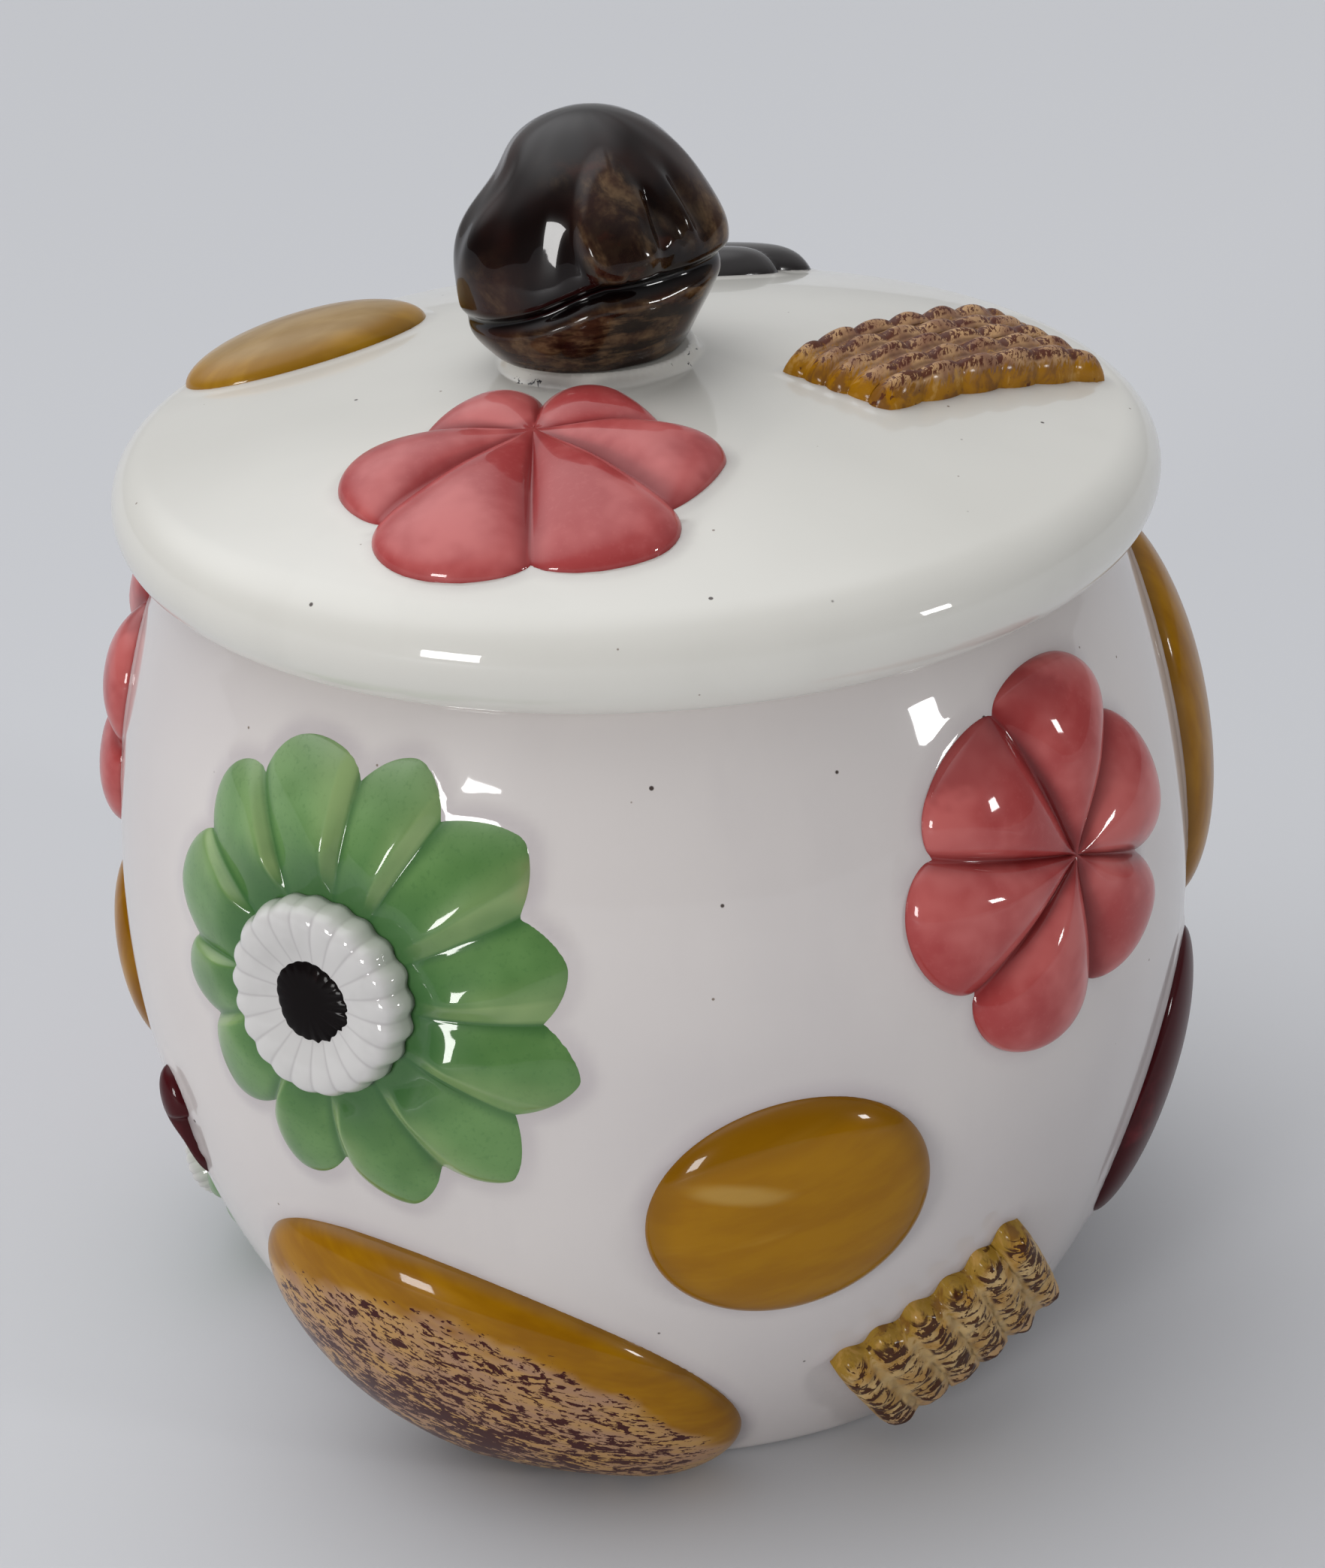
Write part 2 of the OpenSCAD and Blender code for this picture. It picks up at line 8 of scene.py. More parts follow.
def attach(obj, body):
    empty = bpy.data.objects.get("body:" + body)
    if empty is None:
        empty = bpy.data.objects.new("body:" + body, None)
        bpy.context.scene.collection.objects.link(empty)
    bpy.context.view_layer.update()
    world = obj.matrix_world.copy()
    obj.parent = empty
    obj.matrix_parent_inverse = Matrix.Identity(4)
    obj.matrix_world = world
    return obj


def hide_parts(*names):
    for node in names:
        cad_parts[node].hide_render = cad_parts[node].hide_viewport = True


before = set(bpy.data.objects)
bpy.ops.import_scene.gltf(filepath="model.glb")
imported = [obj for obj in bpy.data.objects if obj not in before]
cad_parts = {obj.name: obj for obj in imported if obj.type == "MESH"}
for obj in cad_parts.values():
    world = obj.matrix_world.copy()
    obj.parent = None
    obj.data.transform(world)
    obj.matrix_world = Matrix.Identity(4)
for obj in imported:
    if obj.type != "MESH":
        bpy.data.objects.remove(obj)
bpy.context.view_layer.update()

# Driving sizes of the jar, in millimetres, as in the CAD
BELLY_Z, BELLY_R = 86.0, 103.3
LOWER_ARC, UPPER_ARC = 162.0, 170.0
BARREL_H, FOOT_W, FOOT_RECESS, FLOOR_T, WALL = 159.0, 8.0, 1.5, 7.0, 5.0
RIM_W, LIP_H = 7.0, 4.0
LID_R, EDGE_R, DOME_R, LID_WALL = 96.0, 9.7, 335.0, 5.0
FLANGE_H, FLANGE_W, FLANGE_GAP = 10.0, 5.0, 1.5
KNOB_X, KNOB_Y, KNOB_R, KNOB_H = -5.5, -2.0, 24.2, 42.6
SEAT_R, SEAT_H = 16.7, 2.4

FOOT_S = -LOWER_ARC * math.asin(BELLY_Z / LOWER_ARC)
RIM_S = UPPER_ARC * math.asin((BARREL_H - BELLY_Z) / UPPER_ARC)
TUBE_R, EDGE_Z = LID_R - EDGE_R, BARREL_H + EDGE_R
DOME_Z = EDGE_Z - math.sqrt((DOME_R - EDGE_R) ** 2 - TUBE_R ** 2)
JOIN_R = TUBE_R * DOME_R / (DOME_R - EDGE_R)
LID_TOP = DOME_Z + DOME_R
SEAT_TOP = LID_TOP + SEAT_H

METRES = 0.001
SINK = 0.35  # how far a biscuit's underside lies below the skin it sits on
FOOT_CLEAR = 1.5  # what stays free between a biscuit that is cut off and the foot
BARREL_SECTORS, LID_SECTORS = 420, 400
KNOB_SECTORS, KNOB_RINGS = 260, 190


# ---------------------------------------------------------------- small sums
def sin_deg(angle):
    return np.sin(np.radians(angle))


def cos_deg(angle):
    return np.cos(np.radians(angle))


def share_of(x):
    return np.clip(x, 0, 1)


def smooth_step(lo, hi, x):
    k = share_of((x - lo) / (hi - lo))
    return k * k * (3 - 2 * k)


def bump(x, centre, width):
    return np.exp(-(((x - centre) / width) ** 2))


def turn_gap(t, centre):
    """Angle from centre to t, in degrees, between -180 and 180."""
    return (t - centre + 180) % 360 - 180


# ---------------------------------------------------------------- ground surfaces
def wall_arc(s):
    return np.where(s < 0, LOWER_ARC, UPPER_ARC)


def wall_slope(s):
    return s / wall_arc(s)


def wall_r(s):
    return BELLY_R - wall_arc(s) * (1 - np.cos(wall_slope(s)))


def wall_z(s):
    return BELLY_Z + wall_arc(s) * np.sin(wall_slope(s))


def barrel_wobble(az, s):
    """Slight unevenness of the hand-finished wall, in millimetres."""
    return (
        0.14 * np.sin(2 * az + 0.7)
        + 0.10 * np.sin(3 * az - s / 31 + 1.9)
        + 0.07 * np.sin(5 * az + s / 19)
        + 0.05 * np.sin(9 * az - s / 11 + 0.6)
    )


def lid_wobble(x, y):
    return (
        0.13 * np.sin(x / 27 + 0.4) * np.cos(y / 33 - 0.8)
        + 0.07 * np.sin(x / 14 - y / 17 + 1.3)
        + 0.05 * np.sin(y / 11 + x / 23)
    )


def on_barrel(az, s, h):
    """Points h above the barrel's skin; az in radians from the front, towards +X."""
    h = h + barrel_wobble(az, s)
    r = wall_r(s) + h * np.cos(wall_slope(s))
    z = wall_z(s) + h * np.sin(wall_slope(s))
    return np.stack([r * np.sin(az), -r * np.cos(az), z], -1)


def on_lid(x, y, h):
    """Points h above the lid's skin, on its dome or on its rounded edge."""
    r = np.maximum(np.hypot(x, y), 1e-6)
    dome = r < JOIN_R
    out = np.where(dome, r / DOME_R, np.clip((r - TUBE_R) / EDGE_R, 0, 0.98))
    up = np.sqrt(1 - out ** 2)
    z = np.where(dome, DOME_Z + np.sqrt(DOME_R ** 2 - np.minimum(r, JOIN_R) ** 2), EDGE_Z + EDGE_R * up)
    h = h + lid_wobble(x, y)
    return np.stack([x + x / r * out * h, y + y / r * out * h, z + up * h], -1)


# A biscuit's place is its ground, the middle of its plan there and its turn in degrees
def barrel_place(angle, s, turn=0.0):
    return ("barrel", angle, s, turn)


def lid_place(x, y, turn=0.0):
    return ("lid", x, y, turn)


def place(at, u, v, h):
    """The point (u, v) of a biscuit's own plan, h above its ground."""
    turn = math.radians(at[3])
    p = u * math.cos(turn) - v * math.sin(turn)
    q = u * math.sin(turn) + v * math.cos(turn)
    if at[0] == "barrel":
        s = at[2] + q
        return on_barrel(math.radians(at[1]) + p / wall_r(s), s, h)
    return on_lid(at[1] + p, at[2] + q, h)


# ---------------------------------------------------------------- meshes
def link_object(name, data):
    obj = bpy.data.objects.new(name, data)
    bpy.context.scene.collection.objects.link(obj)
    return obj


def new_object(name, points, faces, values=None, vectors=None):
    """A smooth-shaded mesh from millimetres; values and vectors are point attributes."""
    mesh = bpy.data.meshes.new(name)
    points = np.asarray(points, float).reshape(-1, 3) * METRES
    mesh.from_pydata(points.tolist(), [], faces)
    for kind, slot, table in (("FLOAT", "value", values), ("FLOAT_VECTOR", "vector", vectors)):
        for key, data in (table or {}).items():
            column = np.asarray(data, np.float32).ravel()
            mesh.attributes.new(key, kind, "POINT").data.foreach_set(slot, column)
    mesh.polygons.foreach_set("use_smooth", np.ones(len(mesh.polygons), bool))
    mesh.update()
    return link_object(name, mesh)


def ring_faces(start, rings, sectors, flip=False):
    """Quads between successive rings of points that are stored one ring after another."""
    faces = []
    for i in range(rings - 1):
        a, b = start + i * sectors, start + (i + 1) * sectors
        for j in range(sectors):
            k = (j + 1) % sectors
            quad = (a + j, a + k, b + k, b + j)
            faces.append(quad[::-1] if flip else quad)
    return faces


def fan_faces(centre, start, sectors, flip=False):
    """Triangles that close a ring with one point in its middle."""
    faces = []
    for j in range(sectors):
        tri = (centre, start + (j + 1) % sectors, start + j)
        faces.append(tri[::-1] if flip else tri)
    return faces


def lathe(profile, sectors):
    """Points and faces of a closed turned form; profile runs from the lower pole to the upper."""
    profile = np.asarray(profile, float)
    t = np.arange(sectors) * 2 * math.pi / sectors
    rings = profile[1:-1]
    r, z = rings[:, 0, None], rings[:, 1, None]
    points = np.stack([r * np.sin(t), -r * np.cos(t), np.repeat(z, sectors, 1)], -1).reshape(-1, 3)
    points = np.vstack([points, [0, 0, profile[0, 1]], [0, 0, profile[-1, 1]]])
    n = len(rings) * sectors
    faces = ring_faces(0, len(rings), sectors)
    faces += fan_faces(n, 0, sectors)
    faces += fan_faces(n + 1, n - sectors, sectors, True)
    return points, faces


def rounded(corners, steps):
    """A profile with each inner corner (r, z, radius) rounded; without a radius it stays sharp."""
    out = []
    pts = [np.array(c[:2], float) for c in corners]
    for i, corner in enumerate(corners):
        if len(corner) < 3:
            out.append(pts[i])
            continue
        back, ahead = pts[i - 1] - pts[i], pts[i + 1] - pts[i]
        a = pts[i] + back / np.linalg.norm(back) * min(corner[2], np.linalg.norm(back) * 0.48)
        b = pts[i] + ahead / np.linalg.norm(ahead) * min(corner[2], np.linalg.norm(ahead) * 0.48)
        for t in np.arange(steps + 1) / steps:
            out.append((1 - t) ** 2 * a + 2 * t * (1 - t) * pts[i] + t * t * b)
    return out


# ---------------------------------------------------------------- biscuits
OUTLINES = {"barrel": [], "lid": []}


def biscuit(name, at, reach, rise, sectors=240, rings=40, sink=SINK, lift=0.0, edge=1.9):
    """A closed relief over its ground; reach(t) is its outline.

    rise(q, t, u, v) is the height and a table of further point attributes. Every biscuit has plan
    (millimetres in its own plan), high (share of its height) and near (0 in the middle, 1 outside).
    """
    t = np.arange(sectors) * 360.0 / sectors
    far = reach(t)

    def plan_of(q):
        """The rings at the shares q of the reach: the shares, the angles and the plan."""
        q_grid, t_grid = np.meshgrid(q, t, indexing="ij")
        rad = q_grid * far[None, :]
        return q_grid, t_grid, rad * cos_deg(t_grid), rad * sin_deg(t_grid)

    # the rings lie closer together near the edge
    q, t_grid, u, v = plan_of(1 - (1 - np.arange(1, rings + 1) / rings) ** edge)
    h, more = rise(q, t_grid, u, v)
    top = np.nanmax(h)
    h[-1, :] = -sink
    zero = np.zeros((1, 1))
    centre_h = rise(zero + 1e-4, zero, zero, zero)[0].item()
    _, _, under_u, under_v = plan_of(np.array([0.8, 0.6, 0.4, 0.2]))
    none = np.zeros(1)
    all_points = np.vstack([
        place(at, u, v, h + lift).reshape(-1, 3),
        place(at, under_u, under_v, np.full(under_u.shape, lift - sink)).reshape(-1, 3),
        place(at, none, none, none + centre_h + lift),
        place(at, none, none, none + lift - sink)])
    n, total = u.size, u.size + under_u.size
    faces = [f[::-1] for f in ring_faces(0, rings, sectors)]
    faces += ring_faces(n - sectors, len(under_u) + 1, sectors, True)
    faces += fan_faces(total, 0, sectors, True)
    faces += fan_faces(total + 1, total - sectors, sectors)
    plan = np.zeros((len(all_points), 3))
    plan[:total, 0] = np.append(u, under_u)
    plan[:total, 1] = np.append(v, under_v)

    def column(data, centre, rest=0.0):
        values = np.full(len(all_points), rest)
        values[:n] = data.ravel()
        values[total] = centre
        return values

    values = {"high": column(share_of(h / top), share_of(centre_h / top)), "near": column(q, 0.0, 1.0)}
    for key, data in more.items():
        values[key] = column(data, data[0].mean())
    if lift == 0:
        OUTLINES[at[0]].append(place(at, far * cos_deg(t), far * sin_deg(t), np.zeros(sectors)))
    return new_object(name, all_points, faces, values, {"plan": plan})


def lobes(petals, power=0.55, slant=0.0):
    """Outline of a flower. petals is a list of (notch angle, notch reach, tip angle, tip reach).

    A fifth value gives a petal straight sides that meet at its tip: 1 is a sharp tip, 2 a round one.
    The function returned gives the reach, how far across its petal an angle lies from 0 to 1,
    where across the tip is, and which petal it is.
    """
    def find(t):
        t = np.asarray(t, float)
        far, across, tip_at, which = (np.zeros_like(t) for _ in range(4))
        for i, (notch, low, tip_angle, high, *full) in enumerate(petals):
            next_notch, next_low = petals[(i + 1) % len(petals)][:2]
            span = (next_notch - notch) % 360
            tip = (tip_angle - notch) % 360
            x = (t - notch) % 360
            inside = x < span
            rising, falling = share_of(x / tip), share_of((span - x) / (span - tip))
            if full:
                up, down = 1 - (1 - rising) ** full[0], 1 - (1 - falling) ** full[0]
            else:
                up = np.sin(rising * math.pi / 2) ** power
                down = np.sin(falling * math.pi / 2) ** (power + slant)
            reach = np.where(x < tip, low + (high - low) * up, next_low + (high - next_low) * down)
            far = np.where(inside, reach, far)
            across = np.where(inside, x / span, across)
            tip_at = np.where(inside, tip / span, tip_at)
            which = np.where(inside, i, which)
        return far, across, tip_at, which
    return find


def even_petals(count, reach, notch, jitter, seed, *full):
    """A regular flower's petals, a little uneven as a moulded one's are."""
    rand = np.random.RandomState(seed)
    table = []
    for angle in np.arange(count) * 360.0 / count:
        tip = angle + 180.0 / count + rand.uniform(-1, 1) * jitter * 2
        far = reach + rand.uniform(-1, 1) * jitter
        low = reach * (1 - notch) + rand.uniform(-0.6, 0.6) * jitter
        table.append((angle, low, tip, far, *full))
    return table


def rosette(name, at, petals, height=6.5, groove_h=2.2):
    """Puffed petals with narrow grooves between them that meet in a dimple."""
    find = lobes(petals)

    def rise(q, t, u, v):
        far, x, tip, which = find(t)
        side = np.where(x < tip, (tip - x) / tip, (x - tip) / (1 - tip))
        puff = (1 - share_of(side) ** (1.75 + 1.1 * q)) ** 0.86
        crest = height * (1 - share_of(q) ** 5) ** 0.5 * (0.40 + 0.60 * smooth_step(-0.15, 0.55, q))
        crest = crest * (1 + 0.05 * np.sin(which * 2.1 + 0.8)) * (0.70 + 0.30 * smooth_step(10, 26, far))
        groove = groove_h * (1 - q ** 7) ** 0.5 * (1 - 0.35 * q)
        # crest is low in the grooves, where painted shade darkens the glaze
        return groove + (crest - groove) * puff, {"crest": puff * smooth_step(0.02, 0.3, q)}

    return biscuit(name, at, lambda t: find(t)[0], rise, sectors=300, rings=44)


def oval(name, at, a, b, height, power=2.0, cut=False, sectors=200, rings=36):
    """A low dome over an ellipse; power above 2 squares it a little, and cut ends it above the foot."""
    def reach(t):
        c, s = np.abs(cos_deg(t)), np.abs(sin_deg(t))
        far = ((c / a) ** power + (s / b) ** power) ** (-1 / power)
        down, room = -sin_deg(t + at[3]), at[2] - FOOT_S - FOOT_CLEAR
        return np.where(cut & (down * far > room), room / np.maximum(down, 1e-6), far)

    def rise(q, t, u, v):
        swell = 0.12 * np.sin(u / 9 + 0.6) * np.cos(v / 7)
        return (height + swell) * (1 - share_of(q) ** 2.6) ** 0.52, {}

    return biscuit(name, at, reach, rise, sectors, rings)


def almond(name, at, a, b, height):
    """A small drop: blunt above and drawn out to a thin bent tail below."""
    def reach(t):
        c, s = cos_deg(t), sin_deg(t)
        tail = smooth_step(0.1, -0.9, c)
        half = b * (1 - 0.45 * tail)
        total = (np.abs(c) / a) ** 1.9 + (np.abs(s) / half) ** (1.9 - 0.75 * tail)
        return total ** (-1 / (1.9 - 0.4 * tail))

    def rise(q, t, u, v):
        return height * (1 - 0.3 * smooth_step(0, -a, u)) * (1 - share_of(q) ** 2.4) ** 0.52, {}

    return biscuit(name, at, reach, rise, sectors=160, rings=24)


def fingers(name, at, parts, height):
    """Blunt fingers side by side; parts is a list of (u, v, half length, half width)."""
    def share(u, v, part, power):
        pu, pv, a, b = part
        return np.abs((u - pu) / a) ** power + np.abs((v - pv) / b) ** 2.3

    def reach(t):
        rad = np.linspace(0, 40, 800)[:, None]
        u, v = rad * cos_deg(t), rad * sin_deg(t)
        inside = np.min([share(u, v, part, 3.4) for part in parts], axis=0) < 1
        return np.where(inside, rad, 0).max(0)

    def rise(q, t, u, v):
        tall = np.max([share_of(1 - share(u, v, part, 9.0)) ** 0.5 for part in parts], axis=0)
        return height * tall * (1 - share_of(q) ** 9) ** 0.5, {}

    return biscuit(name, at, reach, rise, sectors=320, rings=44)


def daisy_petals(name, at, petals, bed_r, height=5.5, bed_t=2.6):
    """Overlapping petals: each rises to a ridge at its one side and slopes down under the next."""
    find = lobes(petals, 0.5, 0.32)

    def rise(q, t, u, v):
        far, x, _, _ = find(t)
        rad = q * far
        ridge_at = 0.20 + 0.08 * cos_deg(t) - 0.05 * q
        steep = share_of(x / ridge_at) ** 1.1
        slope = 1 - share_of((x - ridge_at) / (1 - ridge_at)) ** 1.05
        wave = np.where(x < ridge_at, steep, slope)
        wave = wave - 0.09 * bump(x, ridge_at, 0.05) + 0.05 * bump(x, 1.0, 0.06)
        out = smooth_step(bed_r - 1.0, bed_r + 8.0, rad)
        edge = (1 - share_of(q) ** 7.0) ** 0.60
        body = height * (0.50 + 0.50 * wave) * (1 - 0.42 * share_of((q - 0.45) / 0.55) ** 1.3)
        start = smooth_step(0.0, 0.05, x)
        line = start * smooth_step(ridge_at + 0.05, ridge_at - 0.01, x)
        line = line * smooth_step(bed_r + 1, bed_r + 6, rad)
        soft = 0.55 * smooth_step(ridge_at + 0.34, ridge_at, x) * smooth_step(bed_r + 4, bed_r + 12, rad)
        # deep marks the joins, where painted shade darkens the green
        deep = np.maximum(smooth_step(0.86, 0.99, x), smooth_step(0.05, 0.0, x))
        crest = np.maximum(line, soft * start)
        return (bed_t + (body - bed_t) * out) * edge, {"crest": crest, "deep": deep}

    return biscuit(name, at, lambda t: find(t)[0], rise, sectors=480, rings=44)


FLUTES = 21  # in the cup of a daisy


def daisy_cup(name, at, r, eye, height=6.4, bed_t=3.4):
    """A flaring white cup with flutes that run from the eye to a scalloped rim."""
    def reach(t):
        wave = np.abs(cos_deg(t * FLUTES / 2))
        uneven = 0.5 + 0.5 * sin_deg(2 * t + 70)
        return r * (0.985 - (0.022 + 0.022 * uneven) * wave ** 2.5) + 0.4 * sin_deg(3 * t + 40)

    def rise(q, t, u, v):
        rad = q * reach(t)
        wave = np.abs(sin_deg(t * FLUTES / 2))
        out = smooth_step(eye * 0.7, eye + 5.0, rad)
        crown = bed_t + 0.5 * out + (height - bed_t - 0.5) * smooth_step(eye - 2.0, r * 1.06, rad) ** 0.8
        crown = crown * (1 - 0.14 * smooth_step(0.86, 1.0, rad / r))
        flute = 0.20 * (1 - wave) ** 1.5 * smooth_step(eye * 0.9, r * 0.8, rad)
        # crest is low in the flutes, where grey shade is painted
        return (crown - flute) * (1 - share_of(q) ** 10) ** 0.5, {"crest": wave ** 0.5}

    return biscuit(name, at, reach, rise, sectors=336, rings=36, sink=0.1, lift=2.8, edge=1.5)


def daisy_eye(name, at, r, seed, height=1.3):
    """A dark glossy pool with a ragged outline where it has run into the flutes."""
    rand = np.random.RandomState(seed)
    ranges = ((-75, 75), (2.5, 5.0), (0.05, 0.17))
    spikes = [[rand.uniform(*ends) for ends in ranges] for _ in range(9)]

    def reach(t):
        far = 1 + 0.03 * sin_deg(3 * t + 50) + 0.02 * sin_deg(5 * t)
        for angle, width, tall in spikes:
            far = far + tall * bump(turn_gap(t, angle - 20), 0, width)
        far = far + 0.055 * np.abs(sin_deg(t * FLUTES / 2 + 4)) * (0.75 + 0.25 * cos_deg(t + 20))
        return r * (far - 0.02)

    def rise(q, t, u, v):
        return 0.35 + (height - 0.35) * (1 - share_of(q) ** 3.0) ** 0.6, {}

    return biscuit(name, at, reach, rise, rings=20, sink=0.3, lift=6.0)


def wafer(name, at, length, ribs, pitch=7.0, height=6.2, valley=1.3, crimps=0, humps=0, end_depth=2.4,
          point_depth=1.2, narrow=None, slant=0.0, shift=0.0, ragged=0.03, seed=5):
    """A slab of rounded ribs, with scale-like crimps or humps along each of them.

    end_depth and point_depth are how far the ribs stand out at the right and the left end; narrow,
    slant and shift give the left end its own width and move it along and across.
    """
    rand = np.random.RandomState(seed)
    width = ribs * pitch
    phase_off = rand.uniform(-0.5, 0.5, ribs + 1)
    end_a = rand.uniform(-ragged, ragged, ribs + 1)
    end_b = rand.uniform(-ragged, ragged, ribs + 1)
    # a runs along the ribs and b across them, both -1 to 1, with closer lines at the edges
    edge_steps = np.array([-1.0, -1.0, -0.997, -0.988, -0.972, -0.945, -0.91])
    along = np.concatenate([edge_steps, np.linspace(-0.87, 0.87, 96), -edge_steps[::-1]])
    across = np.concatenate([edge_steps, np.linspace(-0.87, 0.87, ribs * 18), -edge_steps[::-1]])
    a, b = np.meshgrid(along, across, indexing="ij")
    row = np.clip(((b + 1) / 2 * ribs).astype(int), 0, ribs - 1)
    off = 2 * ((b + 1) / 2 * ribs - row) - 1
    wave = np.abs(np.sin(np.pi * np.clip((b + 1) / 2 * ribs, 0, ribs)))
    deep, point = end_depth * 2 / length, point_depth * 2 / length
    reach_hi = 1 - deep + deep * wave ** 0.8 - np.abs(end_a[row]) * wave
    reach_lo = 1 - point + point * wave ** (1.5 if crimps else 0.8) - np.abs(end_b[row]) * wave
    x = np.where(a > 0, a * reach_hi, a * reach_lo) * length / 2
    y = b * width / 2 + 0.5 * np.sin(x / 8 + row) * (1 - np.abs(b) ** 6)
    end = (1 - a) / 2
    x = x - slant * (b + 1) / 2 * end
    y = y * (1 - (1 - (narrow or width) / width) * end) - shift * end
    square_a, square_b = (12, 26) if crimps else (7, 18)
    drop = (1 - np.abs(a) ** square_a) ** 0.46 * (1 - np.abs(b) ** square_b) ** 0.42
    ridge = wave ** (1.0 if crimps else 1.5)
    h = height - valley * (1 - ridge)
    if crimps:
        saw = (x + 1.5 * off ** 2 + phase_off[row] * 3) / (length / crimps) % 1.0
        step = saw ** 1.6 * smooth_step(1.0, 0.86, saw)
        h = h + 0.60 * (step - 0.45) * ridge + 0.30 * np.sin(x / 2.3 + 2 * row) * np.sin(y / 2.4 + x / 5)
        h = h + 0.30 * np.sin(x / 1.1 + 3 * row) * np.sin(y / 0.9 + x / 2.2)
        h = h * (1 - 0.14 * smooth_step(-0.3, -1, a))
        mark = smooth_step(0.40, 0.95, saw) * ridge
    if humps:
        swell = np.abs(np.sin(np.pi * (x / length * humps + phase_off[row]))) ** 0.7
        rough = 0.22 * np.sin(x / 1.5 + row) * np.sin(y / 1.3 + 1)
        h = h + (1.15 * (swell - 0.7) + rough) * ridge ** 0.7
        h = (h + 0.35 * (swell - 0.6) * (1 - ridge)) * (1 - 0.12 * smooth_step(0.3, 1, a))
        mark = (1 - swell) * ridge
        y = y + 0.9 * (swell - 0.5) * np.abs(b) ** 8 * np.sign(b)
    h = np.where(np.maximum(np.abs(a), np.abs(b)) >= 0.9999, 0.0, h * drop)
    h[[0, -1], :] = -SINK
    h[:, [0, -1]] = -SINK
    nu, nv = a.shape
    faces = []
    for i in range(nu - 1):
        for j in range(nv - 1):
            faces.append((i * nv + j, (i + 1) * nv + j, (i + 1) * nv + j + 1, i * nv + j + 1))
    # the underside uses every point of the border and a coarse inside
    border = [(i, 0) for i in range(nu)] + [(nu - 1, j) for j in range(1, nv)]
    border += [(i, nv - 1) for i in range(nu - 2, -1, -1)] + [(0, j) for j in range(nv - 2, 0, -1)]
    rim = np.array([(x[i, j], y[i, j]) for i, j in border])
    size = len(border)
    points = [place(at, x, y, h).reshape(-1, 3)]
    loops = [[i * nv + j for i, j in border]]
    for share in (0.75, 0.5, 0.25):
        start = sum(map(len, points))
        points.append(place(at, rim[:, 0] * share, rim[:, 1] * share, np.full(size, -SINK)))
        loops.append(list(range(start, start + size)))
    for one, two in zip(loops, loops[1:]):
        for k in range(size):
            m = (k + 1) % size
            faces.append((one[k], two[k], two[m], one[m]))
    points.append(place(at, np.zeros(1), np.zeros(1), np.full(1, -SINK)))
    faces += [(loops[-1][k], loops[-1][-1] + 1, loops[-1][(k + 1) % size]) for k in range(size)]
    all_points = np.vstack(points)

    def column(data, rest=0.0):
        values = np.full(len(all_points), rest)
        values[:a.size] = data.ravel()
        return values

    values = {"high": column(share_of(h / height)), "crest": column(ridge), "mark": column(mark)}
    # bent is the plan with each rib's cross lines bent into crescents, for the painted marks
    vectors = {"plan": np.stack([column(x), column(y), column(0 * x)], -1),
               "bent": np.stack([column(x + 1.9 * off ** 2), column(y), column(0 * x)], -1)}
    OUTLINES[at[0]].append(place(at, rim[:, 0], rim[:, 1], np.zeros(size)))
    return new_object(name, all_points, faces, values, vectors)


# ---------------------------------------------------------------- materials
def srgb(r, g, b):
    """A colour written as 0 to 255 on a screen, as Blender's linear RGBA."""
    parts = (c / 255 for c in (r, g, b))
    return (*(c / 12.92 if c <= 0.04045 else ((c + 0.055) / 1.055) ** 2.4 for c in parts), 1.0)


def add_node(tree, kind, inputs=None, **settings):
    """A shader node; each input, by name or number, is a constant, or a socket to link."""
    node = tree.nodes.new("ShaderNode" + kind)
    for key, value in settings.items():
        setattr(node, key, value)
    for key, value in (inputs or {}).items():
        if isinstance(value, bpy.types.NodeSocket):
            tree.links.new(value, node.inputs[key])
        else:
            node.inputs[key].default_value = value
    return node


def ramp_node(tree, value, lo, hi, out_lo=0.0, out_hi=1.0):
    """Runs smoothly from out_lo where the value is lo to out_hi where it is hi."""
    return add_node(tree, "MapRange", {
        "Value": value, "From Min": lo, "From Max": hi, "To Min": out_lo, "To Max": out_hi,
    }, interpolation_type="SMOOTHSTEP").outputs["Result"]


